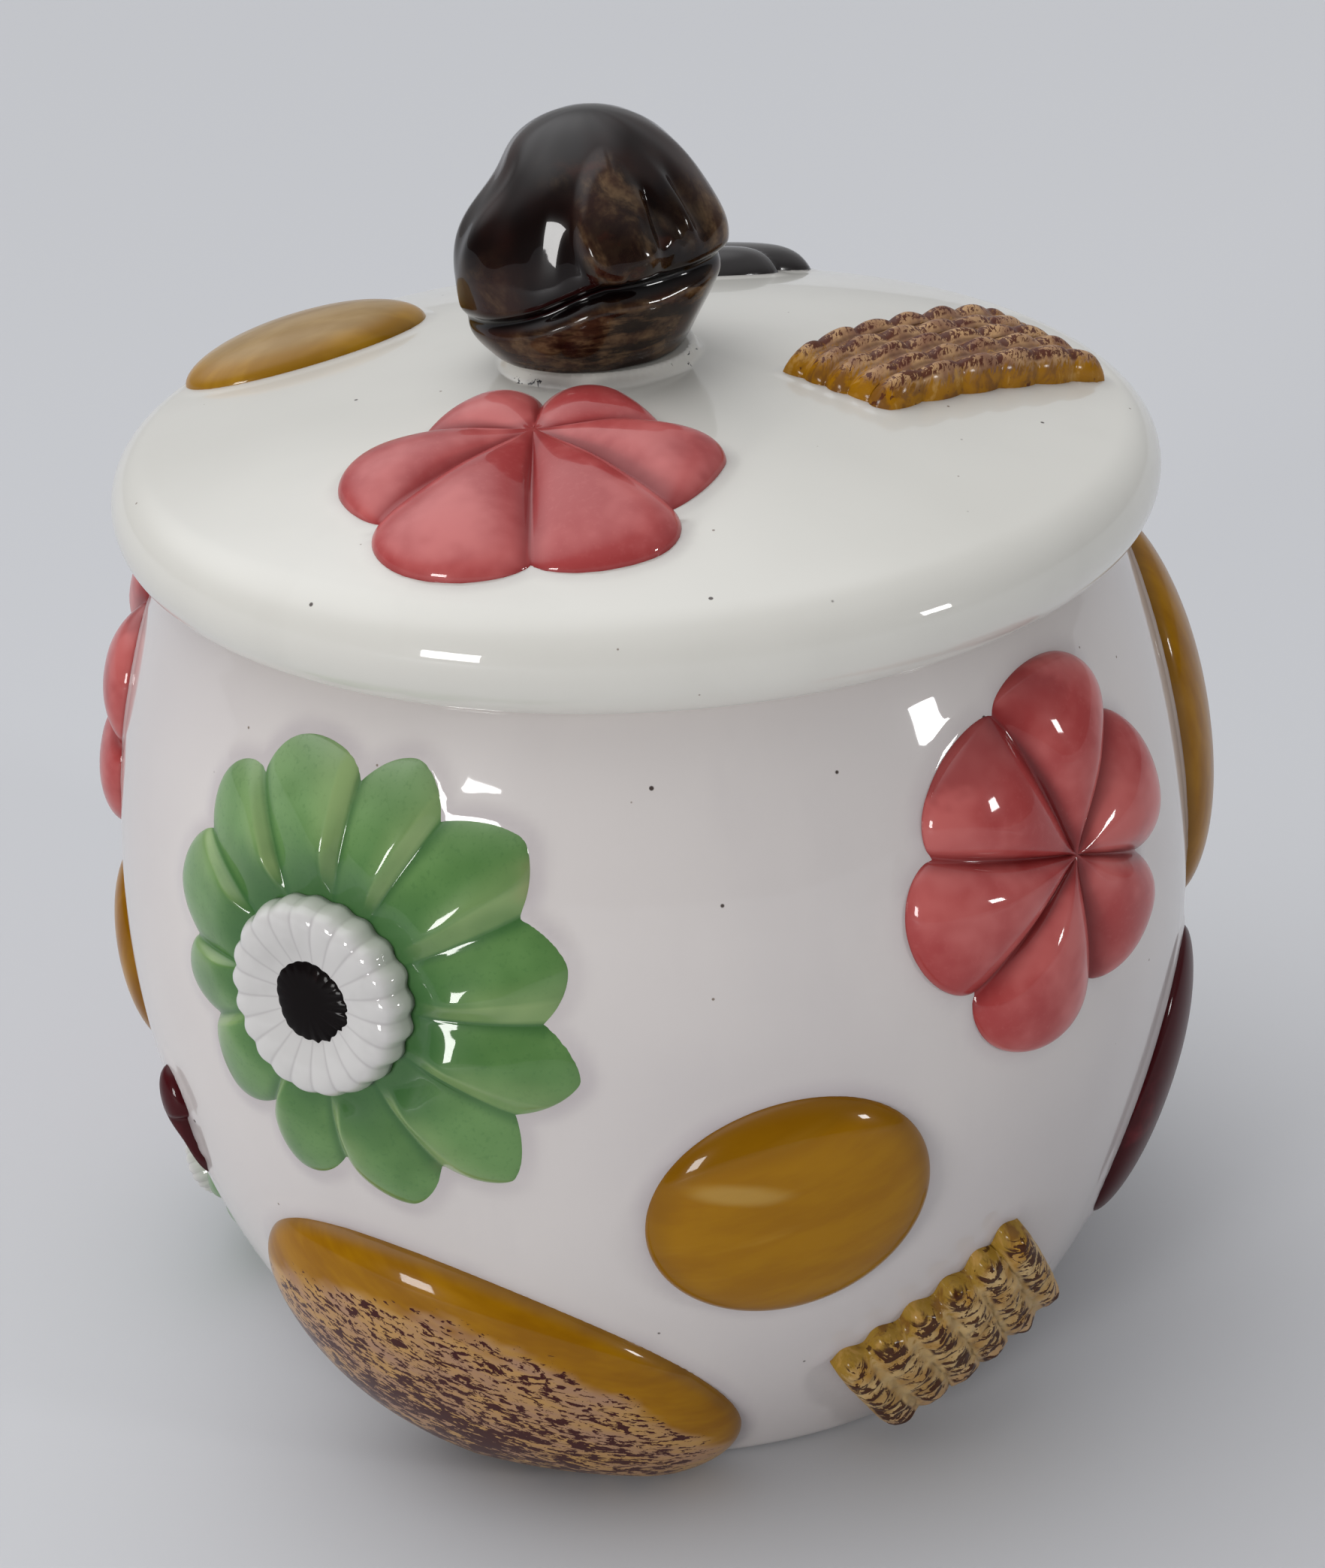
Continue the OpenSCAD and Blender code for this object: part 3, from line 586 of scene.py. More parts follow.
class Paint:
    """A glaze under construction: a base colour that grows by layers, under a clear coat."""

    def __init__(self, name, rough, coat, coat_rough, bump_scale, bump_height):
        self.mat = bpy.data.materials.new(name)
        self.mat.use_nodes = True
        self.tree = self.mat.node_tree
        self.tree.nodes.clear()
        self.coords = self.add("TexCoord").outputs["Object"]
        grain = self.noise(bump_scale, 2.0, 0.5)
        normal = self.add("Bump", {
            "Strength": 0.35, "Distance": bump_height * METRES, "Height": grain}).outputs["Normal"]
        self.bsdf = self.add("BsdfPrincipled", {
            "Roughness": rough, "Specular IOR Level": 0.05, "Coat Weight": coat,
            "Coat Roughness": coat_rough, "Coat IOR": 1.5, "Normal": normal, "Coat Normal": normal})
        self.add("OutputMaterial", {"Surface": self.bsdf.outputs["BSDF"]})

    def add(self, kind, inputs=None, **settings):
        return add_node(self.tree, kind, inputs, **settings)

    def attribute(self, name):
        """A point attribute of the mesh, as a number."""
        return self.add("Attribute", attribute_name=name).outputs["Fac"]

    def plan(self, name="plan"):
        """A point attribute of the mesh, as a vector."""
        return self.add("Attribute", attribute_name=name).outputs["Vector"]

    def noise(self, scale, detail, rough, source=None, twist=0.0):
        return self.add("TexNoise", {
            "Scale": scale, "Detail": detail, "Roughness": rough, "Distortion": twist,
            "Vector": source or self.coords}).outputs["Fac"]

    def stretched(self, source, scale, detail, rough, turn=0.0, shift=(0, 0, 0), twist=0.0):
        """Noise of scale 1 in a space that is itself scaled, turned and shifted."""
        mapped = self.add("Mapping", {
            "Vector": source, "Scale": scale, "Rotation": (0, 0, turn), "Location": shift})
        return self.noise(1.0, detail, rough, mapped.outputs["Vector"], twist)

    def ramp(self, *levels):
        return ramp_node(self.tree, *levels)

    def maths(self, operation, a, b=0.0):
        return self.add("Math", {0: a, 1: b}, operation=operation).outputs[0]

    def times(self, a, b, *more):
        product = self.maths("MULTIPLY", a, b)
        return self.times(product, *more) if more else product

    def plus(self, a, b):
        return self.maths("ADD", a, b)

    def split(self, vector):
        return self.add("SeparateXYZ", {0: vector}).outputs

    def mix(self, factor, a, b):
        """From a to b, each a colour as 0 to 255 or a socket."""
        a, b = (srgb(*c) if isinstance(c, tuple) else c for c in (a, b))
        return self.add("Mix", {0: factor, 6: a, 7: b}, data_type="RGBA").outputs[2]

    def start(self, factor, a, b):
        self.base = self.mix(factor, a, b)

    def over(self, factor, colour):
        """Lay a colour over what is there so far, as densely as the factor says."""
        self.base = self.mix(factor, self.base, colour)

    def specks(self, colour, cell, size, share):
        """Sparse pin specks: small dots in a few cells of a wide Voronoi grid."""
        grid = self.add("TexVoronoi", {"Scale": cell, "Vector": self.coords}).outputs
        gate = self.ramp(self.split(grid["Color"])[0], 1 - share, 1 - share + 0.02)
        self.over(self.times(self.ramp(grid["Distance"], size, size * 0.6), gate), colour)

    def done(self):
        self.tree.links.new(self.base, self.bsdf.inputs["Base Color"])
        return self.mat


def white_glaze(name, light, shade, halo):
    """Thick white: faint vertical runs, a shadow round the biscuits, fine cracks and pin specks."""
    p = Paint(name, rough=0.28, coat=0.8, coat_rough=0.03, bump_scale=90.0, bump_height=0.10)
    p.start(p.ramp(p.noise(9.0, 3.0, 0.55), 0.35, 0.70), light, shade)
    runs = p.stretched(p.coords, (60.0, 60.0, 7.0), 3.0, 0.55)
    p.over(p.ramp(runs, 0.52, 0.80, 0.0, 0.30), shade)
    # painted shadow round the biscuits' outlines, a little patchy
    patchy = p.ramp(p.noise(38.0, 3.0, 0.6), 0.30, 0.70, 0.35, 1.0)
    p.over(p.times(p.attribute("halo"), patchy, 0.45), halo)
    torn = p.stretched(p.coords, (300.0, 300.0, 500.0), 3.0, 0.65, twist=0.8)
    p.over(p.ramp(p.plus(torn, p.times(p.attribute("crack"), 0.30)), 0.80, 0.84), (44, 40, 42))
    p.specks((70, 60, 56), cell=82.0, size=0.040, share=0.55)
    p.specks((132, 118, 108), cell=120.0, size=0.038, share=0.6)
    return p.done()


def petal_glaze(name, pale, body, deep):
    """Rose glaze: thin and paler on the puffs; darker in the grooves and at the foot, partly pooled
    glaze and partly painted shade.
    """
    p = Paint(name, rough=0.34, coat=0.60, coat_rough=0.05, bump_scale=260.0, bump_height=0.03)
    p.start(p.ramp(p.noise(55.0, 3.0, 0.6), 0.38, 0.66), body, pale)
    p.over(p.ramp(p.noise(900.0, 2.0, 0.6), 0.50, 0.75, 0.0, 0.18), pale)
    # painted shade with pooled glaze: darker in the grooves between the puffs
    p.over(p.times(p.ramp(p.attribute("crest"), 0.62, 0.10), 0.72), deep)
    mottled = p.ramp(p.noise(34.0, 4.0, 0.65), 0.50, 0.62)
    p.over(p.times(mottled, p.ramp(p.attribute("near"), 0.62, 0.93), 0.55), deep)
    # painted shade with pooled glaze: darker at the foot
    p.over(p.ramp(p.attribute("high"), 0.16, 0.02, 0.0, 0.55), deep)
    return p.done()


def leaf_glaze(name, pale, body, deep):
    """Green glaze, paler at the tips and along the ridges; darker in the joins and at the bed, partly
    pooled glaze and partly painted shade.
    """
    p = Paint(name, rough=0.30, coat=0.70, coat_rough=0.04, bump_scale=230.0, bump_height=0.035)
    near = p.attribute("near")
    patch = p.noise(42.0, 3.0, 0.55)
    p.start(p.ramp(patch, 0.34, 0.68), body, (104, 142, 84))
    upper = p.plus(p.split(p.plan())[1], p.times(patch, 16.0))
    p.over(p.ramp(upper, 32.0, 56.0, 0.0, 0.80), (140, 168, 122))
    p.over(p.ramp(p.noise(1100.0, 2.0, 0.6), 0.52, 0.74, 0.0, 0.22), (52, 92, 48))
    # painted shade with pooled glaze: darker towards the bed round the cup
    p.over(p.ramp(near, 0.74, 0.42, 0.0, 0.75), deep)
    # painted shade with pooled glaze: darker in the joins where a petal slopes under the next
    p.over(p.times(p.attribute("deep"), 0.60), deep)
    p.over(p.times(p.attribute("crest"), p.ramp(p.noise(60.0, 2.0, 0.5), 0.34, 0.66, 0.30, 0.90)), pale)
    brown = p.times(p.ramp(p.noise(30.0, 3.0, 0.6), 0.60, 0.72), p.ramp(near, 0.86, 0.98))
    p.over(p.times(brown, 0.7), (146, 146, 98))
    return p.done()


def cup_glaze(name):
    """White with painted shade, grey, in the flutes and a green tinge at the rim."""
    p = Paint(name, rough=0.30, coat=0.85, coat_rough=0.03, bump_scale=200.0, bump_height=0.04)
    # painted shade: greyer in the flutes, whiter on their crests
    p.start(p.ramp(p.attribute("crest"), 0.10, 0.70), (184, 181, 180), (199, 197, 195))
    p.over(p.ramp(p.noise(90.0, 3.0, 0.6), 0.50, 0.74, 0.0, 0.35), (176, 174, 172))
    p.over(p.ramp(p.attribute("near"), 0.86, 0.99, 0.0, 0.45), (160, 172, 148))
    return p.done()


def dark_glaze(name, dark, warm, share, scale, rough, coat_rough, coat):
    """A dark glaze with warmer clouds over that share of it."""
    p = Paint(name, rough, coat, coat_rough, bump_scale=240.0, bump_height=0.03)
    cloud = p.noise(scale, 4.0, 0.6, twist=0.6)
    p.start(p.ramp(cloud, 0.62 - 0.2 * share, 0.85 - 0.2 * share), dark, warm)
    return p.done()


def mustard_glaze(name, light, body, dark, stroke=None):
    """Mustard brushed along the plan; stroke is a thin place, (u, v, turn, half length, half width)."""
    p = Paint(name, rough=0.28, coat=0.34, coat_rough=0.04, bump_scale=160.0, bump_height=0.04)
    plan = p.plan()
    brushed = p.stretched(plan, (0.040, 0.14, 1.0), 4.0, 0.6, 0.12)
    p.start(p.ramp(brushed, 0.36, 0.62), body, light)
    faint = p.stretched(plan, (0.03, 0.26, 1.0), 2.0, 0.5, 0.05, (7.3, 2.1, 0))
    p.over(p.ramp(faint, 0.58, 0.80, 0.0, 0.20), (192, 146, 60))
    if stroke:
        u, v, turn, a, b = stroke
        upper = p.plus(p.split(plan)[1], p.times(brushed, 9.0))
        p.over(p.ramp(upper, 17.5, 22.0, 0.0, 0.55), (112, 72, 0))
        local = p.add("Mapping", {
            "Vector": plan, "Scale": (a, b, 1.0), "Rotation": (0, 0, math.radians(turn)),
            "Location": (u, v, 0)}, vector_type="TEXTURE").outputs["Vector"]
        away = p.add("VectorMath", {0: local}, operation="LENGTH").outputs["Value"]
        p.over(p.ramp(p.plus(away, p.times(brushed, 0.9)), 1.45, 0.75, 0.0, 0.50), (184, 152, 84))
    p.over(p.ramp(p.attribute("near"), 0.76, 0.99, 0.0, 0.50), dark)
    return p.done()


def speckled_glaze(name, plain_from, amount=1.0):
    """Tan with ragged dark dashes, and a plain mustard band beyond plain_from across the plan."""
    p = Paint(name, rough=0.30, coat=0.34, coat_rough=0.05, bump_scale=160.0, bump_height=0.05)
    plan = p.plan()
    along, across = p.split(plan)[:2]
    wander = p.times(p.maths("SUBTRACT", p.stretched(plan, (0.05, 0.10, 1.0), 3.0, 0.6), 0.5), 16.0)
    level = p.plus(p.plus(across, wander), p.times(along, along, 0.010))
    tone = p.stretched(plan, (0.06, 0.22, 1.0), 3.0, 0.6, 0.1)
    mustard = p.mix(p.ramp(tone, 0.34, 0.68), (137, 90, 0), (154, 106, 0))
    tan = p.mix(p.ramp(tone, 0.34, 0.66), (160, 124, 98), (178, 138, 82))
    p.start(p.ramp(level, plain_from - 3.5, plain_from + 1.0), tan, mustard)
    # where the dashes lie: none in the plain band and at the ends, thickest low in the middle
    ends = p.ramp(p.maths("ABSOLUTE", along), 46.0, 36.0)
    density = p.times(p.ramp(level, plain_from + 1.5, plain_from - 4.5), ends)
    lower = p.ramp(level, plain_from - 6.0, plain_from - 32.0, 0.70, 1.12)
    patches = p.stretched(plan, (0.09, 0.14, 1.0), 2.0, 0.6, shift=(3, 5, 0))
    clump = p.ramp(patches, 0.34, 0.66, 0.72, 1.12)
    dense = p.times(density, p.times(lower, clump))
    gate = p.ramp(density, 0.02, 0.10)

    def dashes(field, bare, full):
        """Ink where the field passes a mark that sinks from bare to full as the density grows."""
        mark = p.maths("SUBTRACT", bare, p.times(dense, (bare - full) * amount))
        return p.times(p.ramp(p.maths("SUBTRACT", field, mark), 0.0, 0.018), gate)

    big = dashes(p.stretched(plan, (0.23, 0.52, 1.0), 4.0, 0.66, 0.05, (4, 2, 0), 0.5), 0.66, 0.502)
    small = dashes(p.stretched(plan, (0.46, 1.25, 1.0), 3.0, 0.6, 0.12, (9, 7, 0), 0.3), 0.64, 0.50)
    p.over(p.times(p.maths("MAXIMUM", big, small), 0.98), (56, 8, 12))
    p.over(p.ramp(p.attribute("near"), 0.95, 1.0, 0.0, 0.4), (120, 90, 54))
    return p.done()


def tan_glaze(name):
    """Tan on top over a yellower foot."""
    p = Paint(name, rough=0.30, coat=0.45, coat_rough=0.05, bump_scale=160.0, bump_height=0.04)
    tone = p.stretched(p.plan(), (0.06, 0.14, 1.0), 3.0, 0.55)
    top = p.mix(p.ramp(tone, 0.34, 0.66), (144, 113, 60), (160, 130, 80))
    side = p.mix(p.ramp(tone, 0.40, 0.62), (146, 104, 22), (166, 122, 32))
    p.start(p.ramp(p.attribute("high"), 0.42, 0.80), side, top)
    return p.done()


def wafer_glaze(name, body, pale, valley, edge, ink, marks, share, upper=None):
    """Toasted wafer: tan ribs, ochre sides and torn dark crescents across the crests.

    marks is the scale of the crescents along and across, share how high the noise has to be for
    ink, and upper a colour for the left half, with a pinkish tone for the right end.
    """
    p = Paint(name, rough=0.42, coat=0.25, coat_rough=0.12, bump_scale=300.0, bump_height=0.09)
    plan, high, crest = p.plan(), p.attribute("high"), p.attribute("crest")
    tone = p.stretched(plan, (0.16, 0.16, 1.0), 4.0, 0.6)
    p.start(p.ramp(tone, 0.36, 0.64), body, pale)
    if upper:
        along = p.split(plan)[0]
        p.over(p.times(p.ramp(p.plus(along, p.times(tone, 26.0)), 4.0, -5.0), 0.80), upper)
        p.over(p.times(p.ramp(p.plus(along, p.times(tone, 10.0)), 8.0, 20.0), 0.55), (172, 136, 108))
    p.over(p.ramp(crest, 0.45, 0.05, 0.0, 0.60), valley)
    torn = p.stretched(p.plan("bent"), (*marks, 1.0), 4.0, 0.66, twist=0.6)
    patch = p.stretched(plan, (0.11, 0.11, 1.0), 2.0, 0.5, shift=(5, 1, 0))
    push = p.plus(p.times(p.attribute("mark"), 0.16), p.times(patch, 0.35))
    blot = p.ramp(p.plus(torn, push), share, share + 0.025)
    p.over(p.times(blot, p.ramp(crest, 0.30, 0.55), 0.93), ink)
    ragged = p.plus(high, p.times(p.maths("SUBTRACT", torn, 0.5), 1.25))
    p.over(p.ramp(ragged, 0.76, 0.48), edge)
    scrawl = p.stretched(p.coords, (180, 180, 120), 4.0, 0.68, twist=0.5)
    p.over(p.times(p.ramp(scrawl, 0.48, 0.60), p.ramp(ragged, 0.80, 0.52), 0.75), (112, 72, 34))
    p.over(p.times(p.ramp(scrawl, 0.46, 0.34), p.ramp(ragged, 0.90, 0.60), 0.60), (190, 148, 82))
    dots = p.ramp(p.stretched(p.coords, (330, 330, 200), 3.0, 0.6), 0.64, 0.66)
    p.over(p.times(dots, p.ramp(high, 0.70, 0.45), 0.8), ink)
    return p.done()


def knob_glaze(name):
    """Near-black brown glaze, thin and warm brown over the raised folds and the collar, blackest in the
    groove with pooled glaze and painted shade.
    """
    p = Paint(name, rough=0.20, coat=0.45, coat_rough=0.025, bump_scale=240.0, bump_height=0.02)
    thin = p.attribute("thin")
    cloud = p.noise(85.0, 5.0, 0.68, twist=0.7)
    streaks = p.stretched(p.coords, (95.0, 95.0, 420.0), 4.0, 0.65, twist=0.4)
    worn = p.mix(p.attribute("collar"), cloud, streaks)
    dark = p.mix(p.ramp(p.noise(40.0, 3.0, 0.6), 0.40, 0.68), (12, 3, 2), (38, 16, 11))
    warm = p.mix(p.ramp(p.noise(260.0, 3.0, 0.6), 0.36, 0.70), (60, 38, 24), (112, 88, 62))
    p.start(p.times(thin, p.ramp(worn, 0.40, 0.62, 0.10, 0.95)), dark, warm)
    # painted shade with pooled glaze: blackest in the groove
    p.over(p.attribute("pit"), (4, 1, 1))
    p.over(p.times(p.ramp(p.noise(120.0, 3.0, 0.6), 0.56, 0.68), thin, 0.45), (72, 30, 16))
    return p.done()


# ---------------------------------------------------------------- the turned pieces
def halo_values(points, outlines, reach):
    """How near each point of the ground is to a biscuit's outline, 1 at it and 0 beyond reach."""
    halo = np.zeros(len(points))
    for line in outlines:
        near = ((points > line.min(0) - reach) & (points < line.max(0) + reach)).all(1)
        inside = np.where(near)[0]
        # in portions, to keep the table of distances small
        for chunk in np.array_split(inside, max(1, len(inside) // 2000)):
            if len(chunk):
                gap = np.sqrt(((points[chunk][:, None, :] - line[None, ::2, :]) ** 2).sum(-1)).min(1)
                halo[chunk] = np.maximum(halo[chunk], 1 - smooth_step(0.4, reach, gap))
    return halo


def make_barrel():
    heights = np.linspace(FOOT_S + 2.4, RIM_S - 1.4, 132)
    outer = [(float(wall_r(s)), float(wall_z(s))) for s in heights]
    foot_r, rim_r = float(wall_r(FOOT_S)), float(wall_r(RIM_S))
    mouth_r = rim_r - RIM_W
    inner = []
    for s in np.linspace(RIM_S - LIP_H - WALL, FOOT_S + FLOOR_T + 8, 24):
        slope = float(wall_slope(s))
        r, z = float(wall_r(s)), float(wall_z(s))
        inner.append((r - WALL * math.cos(slope), z - WALL * math.sin(slope)))
    under = rounded([(0, FOOT_RECESS), (foot_r - FOOT_W - FOOT_RECESS, FOOT_RECESS, 1.0),
                     (foot_r - FOOT_W, 0, 1.2), (foot_r - 0.6, 0, 1.4), outer[0]], 5)
    rim = rounded([outer[-1], (rim_r - 0.2, BARREL_H, 1.7), (mouth_r, BARREL_H, 1.2),
                   (mouth_r, BARREL_H - LIP_H, 1.5), inner[0]], 6)
    floor = rounded([inner[-1], (inner[-1][0] - 2.4, FLOOR_T, 9.0), (0, FLOOR_T)], 10)
    profile = under[:-1] + outer + rim[1:-1] + inner + floor[1:]
    steps = []
    for a, b in zip(profile, profile[1:]):
        # long steps are divided, so that no face is much over 8 mm long
        pieces = max(1, int(math.hypot(b[0] - a[0], b[1] - a[1]) / 8))
        steps += [tuple(p + (q - p) * k / pieces for p, q in zip(a, b)) for k in range(pieces)]
    points, faces = lathe(steps + [profile[-1]], BARREL_SECTORS)
    x, y, z = points.T
    r = np.hypot(x, y)
    on_skin = (r > np.interp(z, [p[1] for p in outer], [p[0] for p in outer]) - 1.0) & (z > 2)
    lean = np.maximum(z - BELLY_Z, -BELLY_Z)
    arc = wall_arc(lean)
    s = arc * np.arcsin(np.clip(lean / arc, -1, 1))
    out = np.cos(s / arc) / np.maximum(r, 1e-6)
    normal = np.stack([x * out, y * out, np.sin(s / arc)], -1)
    # the wall's slight unevenness, fading out at the rim, and a fillet of glaze round each biscuit; the
    # same halo sets the painted shadow there
    push = barrel_wobble(np.arctan2(x, -y), s) * smooth_step(BARREL_H, BARREL_H - 6, z) * on_skin
    moved = points + normal * push[:, None]
    halo = halo_values(moved, OUTLINES["barrel"], 4.0) * on_skin
    moved = moved + normal * (0.45 * halo ** 2)[:, None]
    return new_object("barrel_glazed", moved, faces, {"halo": halo})


def make_lid():
    def dome(r, radius=DOME_R):
        return DOME_Z + np.sqrt(radius ** 2 - r * r)

    def edge_points(radius, angles):
        return [(TUBE_R + radius * math.cos(t), EDGE_Z + radius * math.sin(t)) for t in angles[1:]]

    start, low = math.acos(TUBE_R / (DOME_R - EDGE_R)), -math.pi / 2
    radii = np.concatenate([[0], np.linspace(0.6, 27, 56), np.linspace(27.8, JOIN_R, 76)])
    top = [(r, dome(r)) for r in radii]
    edge = edge_points(EDGE_R, np.linspace(start, low, 54))
    hollow = edge_points(EDGE_R - LID_WALL, np.linspace(low, start, 10))
    under = [(r, dome(r, DOME_R - LID_WALL)) for r in np.linspace(hollow[-1][0] * 0.97, 0, 14)]
    out_r = float(wall_r(RIM_S)) - RIM_W - FLANGE_GAP
    in_r = out_r - FLANGE_W
    flange = rounded([edge[-1], (out_r, BARREL_H, 0.8), (out_r, BARREL_H - FLANGE_H, 1.6),
                      (in_r, BARREL_H - FLANGE_H, 1.6), (in_r, BARREL_H + LID_WALL, 2.5),
                      (TUBE_R, BARREL_H + LID_WALL)], 5)
    # a lathe runs from the bottom pole to the top one
    points, faces = lathe((top + edge + flange[1:-1] + hollow + under)[::-1], LID_SECTORS)
    x, y, z = points.T
    r = np.hypot(x, y)
    skin = (z > DOME_Z + np.sqrt(np.maximum((DOME_R - 1) ** 2 - r ** 2, 0))) & (r < JOIN_R + 0.1)
    rim = (r > TUBE_R) & (z > BARREL_H + 3) & (np.hypot(r - TUBE_R, z - EDGE_Z) > EDGE_R - 0.5)
    fade = np.where(skin, 1.0, np.where(rim, smooth_step(BARREL_H + 1, BARREL_H + 8, z), 0.0))
    # the knob's low seat, whose outline has run a little; its top is level while the dome falls away
    gap = np.hypot(x - KNOB_X, y - KNOB_Y)
    az = np.arctan2(y - KNOB_Y, x - KNOB_X)
    drips = 0.9 * np.sin(3 * az + 0.8) + 0.5 * np.sin(7 * az) + 0.3 * np.sin(11 * az + 2)
    seat = 1 - smooth_step(SEAT_R + 0.3, SEAT_R + 2.0 + 0.35 * drips, gap)
    level = SEAT_TOP - 0.05
    tall = z + lid_wobble(x, y) * fade
    tall = tall + np.where(skin, SEAT_H * seat * (1 - 0.06 * smooth_step(12, SEAT_R, gap)), 0)
    tall = np.where(skin & (gap < SEAT_R + 0.6), np.clip(tall, level - 0.25, level), tall)
    crack = 0.35 + 0.65 * np.maximum(bump(az, -2.35, 0.3), bump(az, -0.6, 0.3))
    crack = crack * bump(gap, SEAT_R + 1.4, 1.1) * skin
    # halo: nearness to the lid's biscuits, for the glaze fillet and the painted shadow round them
    halo = halo_values(np.stack([x, y, tall], -1), OUTLINES["lid"], 3.0) * skin
    moved = np.stack([x, y, tall + 0.35 * halo ** 2], -1)
    return new_object("lid_glazed", moved, faces, {"halo": halo, "crack": crack})


def make_knob():
    """The walnut knob: a smooth crown over folds and a rounded nose, a deep groove and a collar."""
    # turn is the angle round the knob: 0 is +X (right), 270 the front; down is the angle from the top
    end = 137.0
    half = KNOB_H / (1 - math.cos(math.radians(end)))
    down, turn = np.meshgrid(np.arange(1, KNOB_RINGS + 1) / KNOB_RINGS * end,
                             np.arange(KNOB_SECTORS) * 360.0 / KNOB_SECTORS, indexing="ij")

    def around(at, width):
        return bump(turn_gap(turn, at), 0, width)

    def spot(at, width, low, tall):
        """A soft spot: its place and width round the knob, then its place and height."""
        return around(at, width) * bump(down, low, tall)

    s = sin_deg(down)
    r = (KNOB_R - 2.3) * s ** np.where(down < 90, 1.0, 0.68)
    # shoulders, the facet left of the nose and the valley beside it
    for height, *where in ((2.9, 186, 44, 100, 26), (2.4, 342, 24, 80, 20), (-2.1, 192, 34, 56, 15),
                           (1.2, 192, 60, 124, 16), (1.3, 95, 45, 92, 30), (1.0, 300, 60, 84, 26),
                           (-1.7, 236, 17, 84, 20), (-1.0, 255, 9, 77, 18)):
        r = r + height * spot(*where)
    r = r + 0.9 * spot(212 - 0.38 * (down - 60), 8, 74, 24)
    # the nose, then the hollow and the creases right of it
    wide_of = np.where(turn < 283, 20.5, 15.0 + 15.0 * smooth_step(50, 84, down))
    tall_of = np.where(down < 66, 30.0, 27.0)
    across = turn_gap(turn, 283) / wide_of
    rho = (np.abs(across) ** 2.1 + np.abs((down - 66) / tall_of) ** 2.1) ** (1 / 2.1)
    nose = smooth_step(1.12, np.where(turn < 283, 0.74, 0.60), rho)
    r = r + 2.6 * nose * (0.45 + 0.55 * smooth_step(45, 80, down))
    for height, *where in ((-2.9, 301, 4.5, 69, 11), (-0.8, 294, 2.4, 67, 8),
                           (1.3, 315 + 0.2 * (down - 60), 4.5, 65, 15), (-1.3, 324, 5, 64, 13)):
        r = r + height * spot(*where)
    # folds at the right side, the back and the left side
    for at, deep, wide, low, tall in (
            (4, 1.5, 7, 76, 20), (38, 2.0, 8, 84, 22), (70, 1.5, 6, 72, 18),
            (101, 2.2, 8, 84, 22), (140, 1.7, 7, 78, 20), (168, 1.2, 8, 72, 16)):
        bend = at + 7 * np.sin(np.radians(down * 2.5 + at))
        r = r - deep * spot(bend, wide, low, tall) + deep * 0.55 * spot(bend + 15, 8, low + 5, tall)
    # the groove that parts the walnut from its collar
    line = 104 + 13 * cos_deg(turn - 170) - 5.5 * around(272, 24)
    wide = 3.3 + 0.6 * around(301, 12)
    depth = 0.7 + 2.0 * around(284, 62)
    r = r - depth * bump(down, line, np.where(down < line, 0.8 * wide, 1.6 * wide))
    r = r + (0.16 * sin_deg(7 * turn + 3 * down) + 0.10 * sin_deg(13 * turn - 5 * down)) * s
    r = r + 0.35 * sin_deg(3 * turn + 60) * smooth_step(115, 136, down)
    shift = 1.6  # how far left of the crown the collar stands
    x = KNOB_X + r * cos_deg(turn) - shift * smooth_step(98, 130, down)
    z = SEAT_TOP + KNOB_H - half + half * cos_deg(down)
    points = np.stack([x, KNOB_Y + r * sin_deg(turn), z], -1).reshape(-1, 3)
    n = len(points)
    poles = [[KNOB_X, KNOB_Y, SEAT_TOP + KNOB_H], [KNOB_X - shift, KNOB_Y, SEAT_TOP - 0.2]]
    points = np.vstack([points, poles])
    faces = [f[::-1] for f in ring_faces(0, KNOB_RINGS, KNOB_SECTORS)]
    faces += fan_faces(n, 0, KNOB_SECTORS, True)
    faces += fan_faces(n + 1, n - KNOB_SECTORS, KNOB_SECTORS)
    # where the glaze is thin, and where it is blackest: the groove, pooled glaze with painted shade
    collar = smooth_step(line + 3.5, line + 8, down)
    thin = nose * (0.62 + 0.38 * bump(down, 84, 14)) * (1 - collar)
    for amount, *where in ((1.0, 338, 17, 76, 17), (0.65, 212, 16, 101, 11), (0.6, 272, 26, 46, 6),
                           (0.4, 40, 60, 84, 26), (0.35, 130, 40, 80, 24)):
        thin = thin + amount * spot(*where)
    thin = share_of(share_of(thin * (1 - bump(down, line, wide + 1))) + 0.8 * collar)
    pit = np.exp(-((down - line) / (wide * 1.05)) ** 4)
    values = {"thin": thin, "collar": collar, "pit": pit}
    values = {key: np.append(data.ravel(), [0, 0]) for key, data in values.items()}
    return new_object("knob_glazed", points, faces, values)


# ---------------------------------------------------------------- build
def keep(obj, node, body, material):
    obj.data.materials.append(material)
    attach(obj, body)
    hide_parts(node)


def sprig(make, node, slot, material, at, *sizes, **more):
    """Mould one biscuit with make and lute it on, to the jar or to the lid."""
    body = {"barrel": "jar", "lid": "lid"}[at[0]]
    keep(make(node + "_glazed", at, *sizes, **more), node, body, material)


GREEN = leaf_glaze("green_glaze", (140, 164, 108), (78, 117, 62), (48, 92, 48))
CUP = cup_glaze("cup_glaze")
EYE = dark_glaze("eye_glaze", (5, 0, 0), (30, 6, 6), 0.2, 120.0, 0.5, 0.10, 0.12)

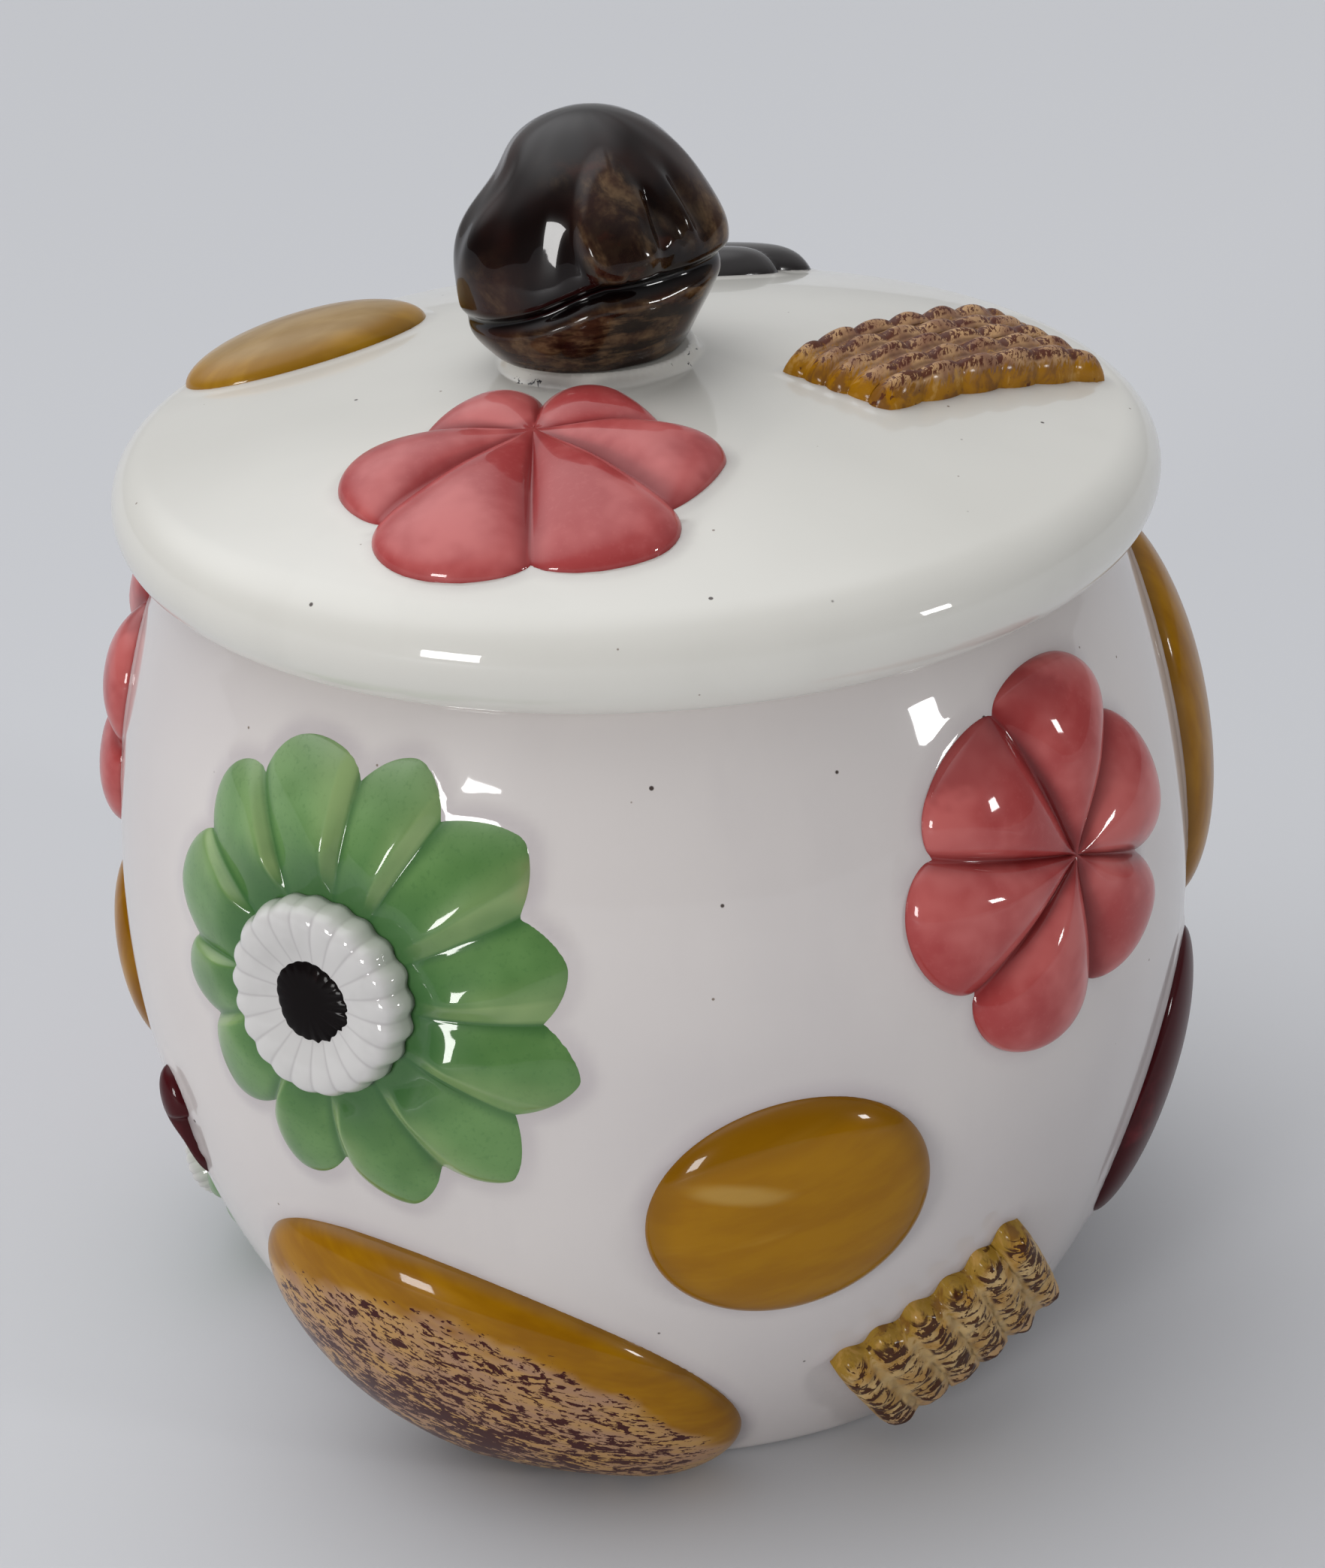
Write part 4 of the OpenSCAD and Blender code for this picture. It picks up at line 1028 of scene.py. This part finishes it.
# petals as (notch angle, notch reach, tip angle, tip reach), in degrees and millimetres
FRONT_PETALS = [
    (0, 39.5, 13, 44.0, 1.5), (28, 39.0, 43, 46.0, 1.4), (60, 38.5, 72, 45.0, 1.6),
    (85, 37.5, 101, 43.8), (117, 38.5, 128, 42.0), (146, 36.5, 167, 40.8, 1.9),
    (181, 34.0, 193, 38.0, 1.9), (206, 31.8, 226, 37.6, 1.9), (241, 30.0, 256, 39.8, 1.9),
    (271, 33.0, 289, 41.8, 1.6), (304, 36.0, 317, 45.0, 1.45), (333, 38.5, 347, 46.6, 1.4),
]
LEFT_PETALS = even_petals(12, 22.0, 0.14, 0.3, 4, 1.6)
BACK_PETALS = even_petals(12, 38.8, 0.14, 0.6, 9, 1.6)
# each daisy: its place, its petals and their bed, the cup's and the eye's radius, the eye's seed
for side, at, petals, bed_r, cup_r, eye_r, seed in (
        ("front", barrel_place(-33, 23), FRONT_PETALS, 17.5, 17.6, 6.9, 3),
        ("left", barrel_place(-90, -66, 120), LEFT_PETALS, 8.0, 8.0, 3.2, 7),
        ("back", barrel_place(178, 22, 60), BACK_PETALS, 17.5, 17.5, 6.9, 11)):
    sprig(daisy_petals, side + "_daisy_petals", "green_glaze", GREEN, at, petals, bed_r)
    sprig(daisy_cup, side + "_daisy_cup", "white_glaze", CUP, at, cup_r, eye_r)
    sprig(daisy_eye, side + "_daisy_eye", "black_glaze", EYE, at, eye_r, seed)

ROSE = petal_glaze("rose_glaze", (186, 96, 93), (162, 62, 61), (118, 28, 31))
ROSE_LID = petal_glaze("rose_glaze_lid", (188, 97, 95), (161, 63, 63), (136, 42, 44))
RIGHT_PETALS = [
    (-22, 22.0, 6, 29.5), (49, 25.5, 77, 34.5), (109, 30.0, 146, 33.0),
    (163, 29.5, 187, 36.0), (215, 29.0, 238, 35.5), (275, 24.0, 315, 30.0),
]
LID_PETALS = [
    (-3, 24.5, 33, 20.0), (83, 12.0, 128, 19.0), (170, 21.5, 197, 34.5),
    (219, 32.5, 245, 42.0), (269, 36.8, 296, 42.2), (312, 33.3, 341, 33.6),
]
for side, material, at, petals, groove in (
        ("right", ROSE, barrel_place(44.3, 34.6), RIGHT_PETALS, 2.2),
        ("left", ROSE, barrel_place(-104, 36.5, 50), even_petals(6, 34, 0.19, 0.8, 2), 2.2),
        ("back", ROSE, barrel_place(-138, -34, 10), even_petals(6, 34, 0.2, 0.9, 6), 2.2),
        ("lid", ROSE_LID, lid_place(-16.8, -40.1), LID_PETALS, 3.2)):
    sprig(rosette, side + "_rosette", "pink_glaze", material, at, petals, groove_h=groove)

MUSTARD = mustard_glaze("mustard_glaze", (160, 112, 0), (140, 92, 0), (104, 64, 0))
MUSTARD_FRONT = mustard_glaze("mustard_front_glaze", (154, 107, 0), (144, 97, 0), (112, 72, 0),
                              (-7.4, 10.9, -20, 10.5, 2.5))
SPECKLED = speckled_glaze("speckled_glaze", 22.0)
SPECKLED_SIDE = speckled_glaze("speckled_side_glaze", 3.0, 0.8)
SPECKLED_BACK = speckled_glaze("speckled_back_glaze", 14.0)
DARK_RED = dark_glaze("dark_red_glaze", (62, 8, 14), (98, 26, 32), 0.5, 60.0, 0.4, 0.04, 0.30)
STANDING = (25.5, 22.5, 6.0)
LONG = (29, 14, 4.2, 2.2)
LYING = (42, 24, 7.5)
# each oval: its glaze, its place, then half length, half width, height (and power)
for node, slot, material, at, sizes, more in (
        ("front_oval", "mustard_glaze", MUSTARD_FRONT, barrel_place(11.4, -16, 15), STANDING, {}),
        ("left_oval", "mustard_glaze", MUSTARD, barrel_place(-95, -19, 84), (22.5, 19.5, 6.0), {}),
        ("back_oval", "mustard_glaze", MUSTARD, barrel_place(135, 38, 60), STANDING, {}),
        ("front_speckled_oval", "speckled_glaze", SPECKLED, barrel_place(-23, -60, -24),
         (48, 29, 9.5), {"cut": True, "sectors": 320, "rings": 48}),
        ("right_speckled_oval", "speckled_glaze", SPECKLED_SIDE, barrel_place(95, 23, 90),
         LYING, {"sectors": 240}),
        ("back_speckled_oval", "speckled_glaze", SPECKLED_BACK, barrel_place(172, -58, 10),
         LYING, {"cut": True, "sectors": 240}),
        ("right_chocolate_oval", "chocolate_glaze", DARK_RED, barrel_place(69.5, -34.5, 60), LONG, {}),
        ("back_chocolate_oval", "chocolate_glaze", DARK_RED, barrel_place(-145, 38, 66), LONG, {})):
    sprig(oval, node, slot, material, at, *sizes, **more)

sprig(almond, "left_almond", "dark_red_glaze", DARK_RED, barrel_place(-63.9, -24.6, 100), 8.6, 5.0, 3.5)
TAN = tan_glaze("tan_glaze")
sprig(oval, "lid_oval", "tan_glaze", TAN, lid_place(-62, 32, 22), 24, 16.5, 6.0)
CHOCOLATE = dark_glaze("chocolate_glaze", (38, 34, 34), (66, 60, 58), 0.5, 50.0, 0.5, 0.16, 0.95)
sprig(fingers, "lid_chocolate", "chocolate_glaze", CHOCOLATE, lid_place(8, 66.5, 12),
      [(-3, -4.8, 25.2, 8.0), (2.5, 4.4, 29.2, 8.6)], 5.3)

WAFER = wafer_glaze("wafer_glaze", (158, 122, 70), (190, 162, 114), (176, 150, 104), (154, 120, 46),
                    (52, 16, 12), (0.62, 0.44), 0.710, (162, 116, 22))
WAFER_LID = wafer_glaze("wafer_lid_glaze", (134, 96, 74), (188, 150, 108), (98, 66, 48), (156, 106, 12),
                        (78, 34, 24), (1.25, 0.95), 0.695)
JAR_WAFER = {"crimps": 13, "valley": 0.85, "end_depth": 2.2, "point_depth": 2.6}
sprig(wafer, "front_wafer", "wafer_glaze", WAFER, barrel_place(32.5, -60, -58), 35.5, 6,
      ragged=0.07, **JAR_WAFER)
sprig(wafer, "back_wafer", "wafer_glaze", WAFER, barrel_place(122, -34, -70), 38, 6,
      ragged=0.05, seed=12, **JAR_WAFER)
sprig(wafer, "lid_wafer", "wafer_glaze", WAFER_LID, lid_place(56.8, -0.4, 34), 54, 5, 6.2, humps=6,
      end_depth=1.2, narrow=22.0, slant=6.4, shift=5.5, seed=14)

# the turned pieces come last, because their glaze gathers round the biscuits' outlines and a shadow is
# painted there
BODY_GLAZE = white_glaze("body_glaze", (208, 202, 199), (196, 190, 189), (162, 152, 158))
LID_GLAZE = white_glaze("lid_glaze", (212, 210, 203), (202, 200, 193), (176, 170, 168))
keep(make_barrel(), "jar_barrel", "jar", BODY_GLAZE)
keep(make_lid(), "lid_shell", "lid", LID_GLAZE)
keep(make_knob(), "walnut_knob", "lid", knob_glaze("knob_glaze"))


# ---------------------------------------------------------------- floor, light and camera
def plane(name, centre, size, material):
    mesh = bpy.data.meshes.new(name)
    x, y, z = centre
    corners = [(x + i * size / 2, y + j * size / 2, z) for i, j in ((-1, -1), (1, -1), (1, 1), (-1, 1))]
    mesh.from_pydata(corners, [], [(0, 1, 2, 3)])
    mesh.materials.append(material)
    return link_object(name, mesh)


floor_paint = bpy.data.materials.new("floor_pale")
floor_paint.use_nodes = True
floor_bsdf = floor_paint.node_tree.nodes["Principled BSDF"]
floor_bsdf.inputs["Base Color"].default_value = srgb(196, 197, 200)
floor_bsdf.inputs["Roughness"].default_value = 0.85
floor_bsdf.inputs["Specular IOR Level"].default_value = 0.15
plane("floor", (0, 0, -0.0002), 200.0, floor_paint)

# two small windows that face the middle of the jar; sizes in metres, power in watts
MIDDLE = Vector((0, 0, 0.12))
for name, position, size_x, size_y, power, colour in (
        ("window_front_left", (-1.15, -1.45, 0.38), 0.40, 0.38, 13.5, (1.0, 0.99, 0.98)),
        ("window_right", (1.40, -0.80, 0.47), 0.18, 0.16, 4.2, (1.0, 1.0, 1.0))):
    lamp = bpy.data.lights.new(name, "AREA")
    lamp.shape = "RECTANGLE"
    lamp.size, lamp.size_y = size_x, size_y
    lamp.energy = power
    lamp.color = colour
    window = link_object(name, lamp)
    window.location = position
    window.rotation_euler = (MIDDLE - Vector(position)).to_track_quat("-Z", "Y").to_euler()

# a bright ceiling with a soft glow at the back left, and a dimmer room on the viewer's side
world = bpy.data.worlds.new("studio")
bpy.context.scene.world = world
world.use_nodes = True
sky = world.node_tree
direction = add_node(sky, "TexCoord").outputs["Generated"]


def sky_part(towards, *levels):
    """Light that grows as the direction turns towards one point of the sky."""
    facing = add_node(sky, "VectorMath", {0: direction, 1: towards}, operation="DOT_PRODUCT")
    return ramp_node(sky, facing.outputs["Value"], *levels)


ceiling = sky_part((0.0, 0.45, 1.0), 0.0, 0.80, 0.12, 0.56)
glow = sky_part((-0.37, 0.27, 0.89), 0.62, 1.0, 0.0, 1.7)
light = add_node(sky, "Math", {0: ceiling, 1: glow}, operation="ADD")
background = sky.nodes["Background"]
background.inputs["Color"].default_value = (0.97, 0.98, 1.0, 1)
sky.links.new(light.outputs[0], background.inputs["Strength"])

# the viewing angle: seen from the front, 27 degrees down, turned a little; the focal length in pixels
IMAGE_H, FOCAL, SENSOR = 2087, 4000.0, 36.0
CAMERA_Y, CAMERA_Z = -0.5224, 0.3667
YAW, PITCH, ROLL = math.radians(0.23416), math.radians(26.9519), math.radians(-2.7752)
ahead = Vector((math.sin(YAW) * math.cos(PITCH), math.cos(YAW) * math.cos(PITCH), -math.sin(PITCH)))
level = Vector((math.cos(YAW), -math.sin(YAW), 0))
upright = level.cross(ahead)
right = math.cos(ROLL) * level + math.sin(ROLL) * upright
up = math.cos(ROLL) * upright - math.sin(ROLL) * level
lens = bpy.data.cameras.new("camera")
lens.sensor_width = SENSOR
lens.lens = SENSOR * FOCAL / IMAGE_H
camera = link_object("camera", lens)
camera.matrix_world = Matrix((
    (right.x, up.x, -ahead.x, 0.0), (right.y, up.y, -ahead.y, CAMERA_Y),
    (right.z, up.z, -ahead.z, CAMERA_Z), (0, 0, 0, 1)))
bpy.context.scene.camera = camera
bpy.context.scene.view_settings.view_transform = "Standard"
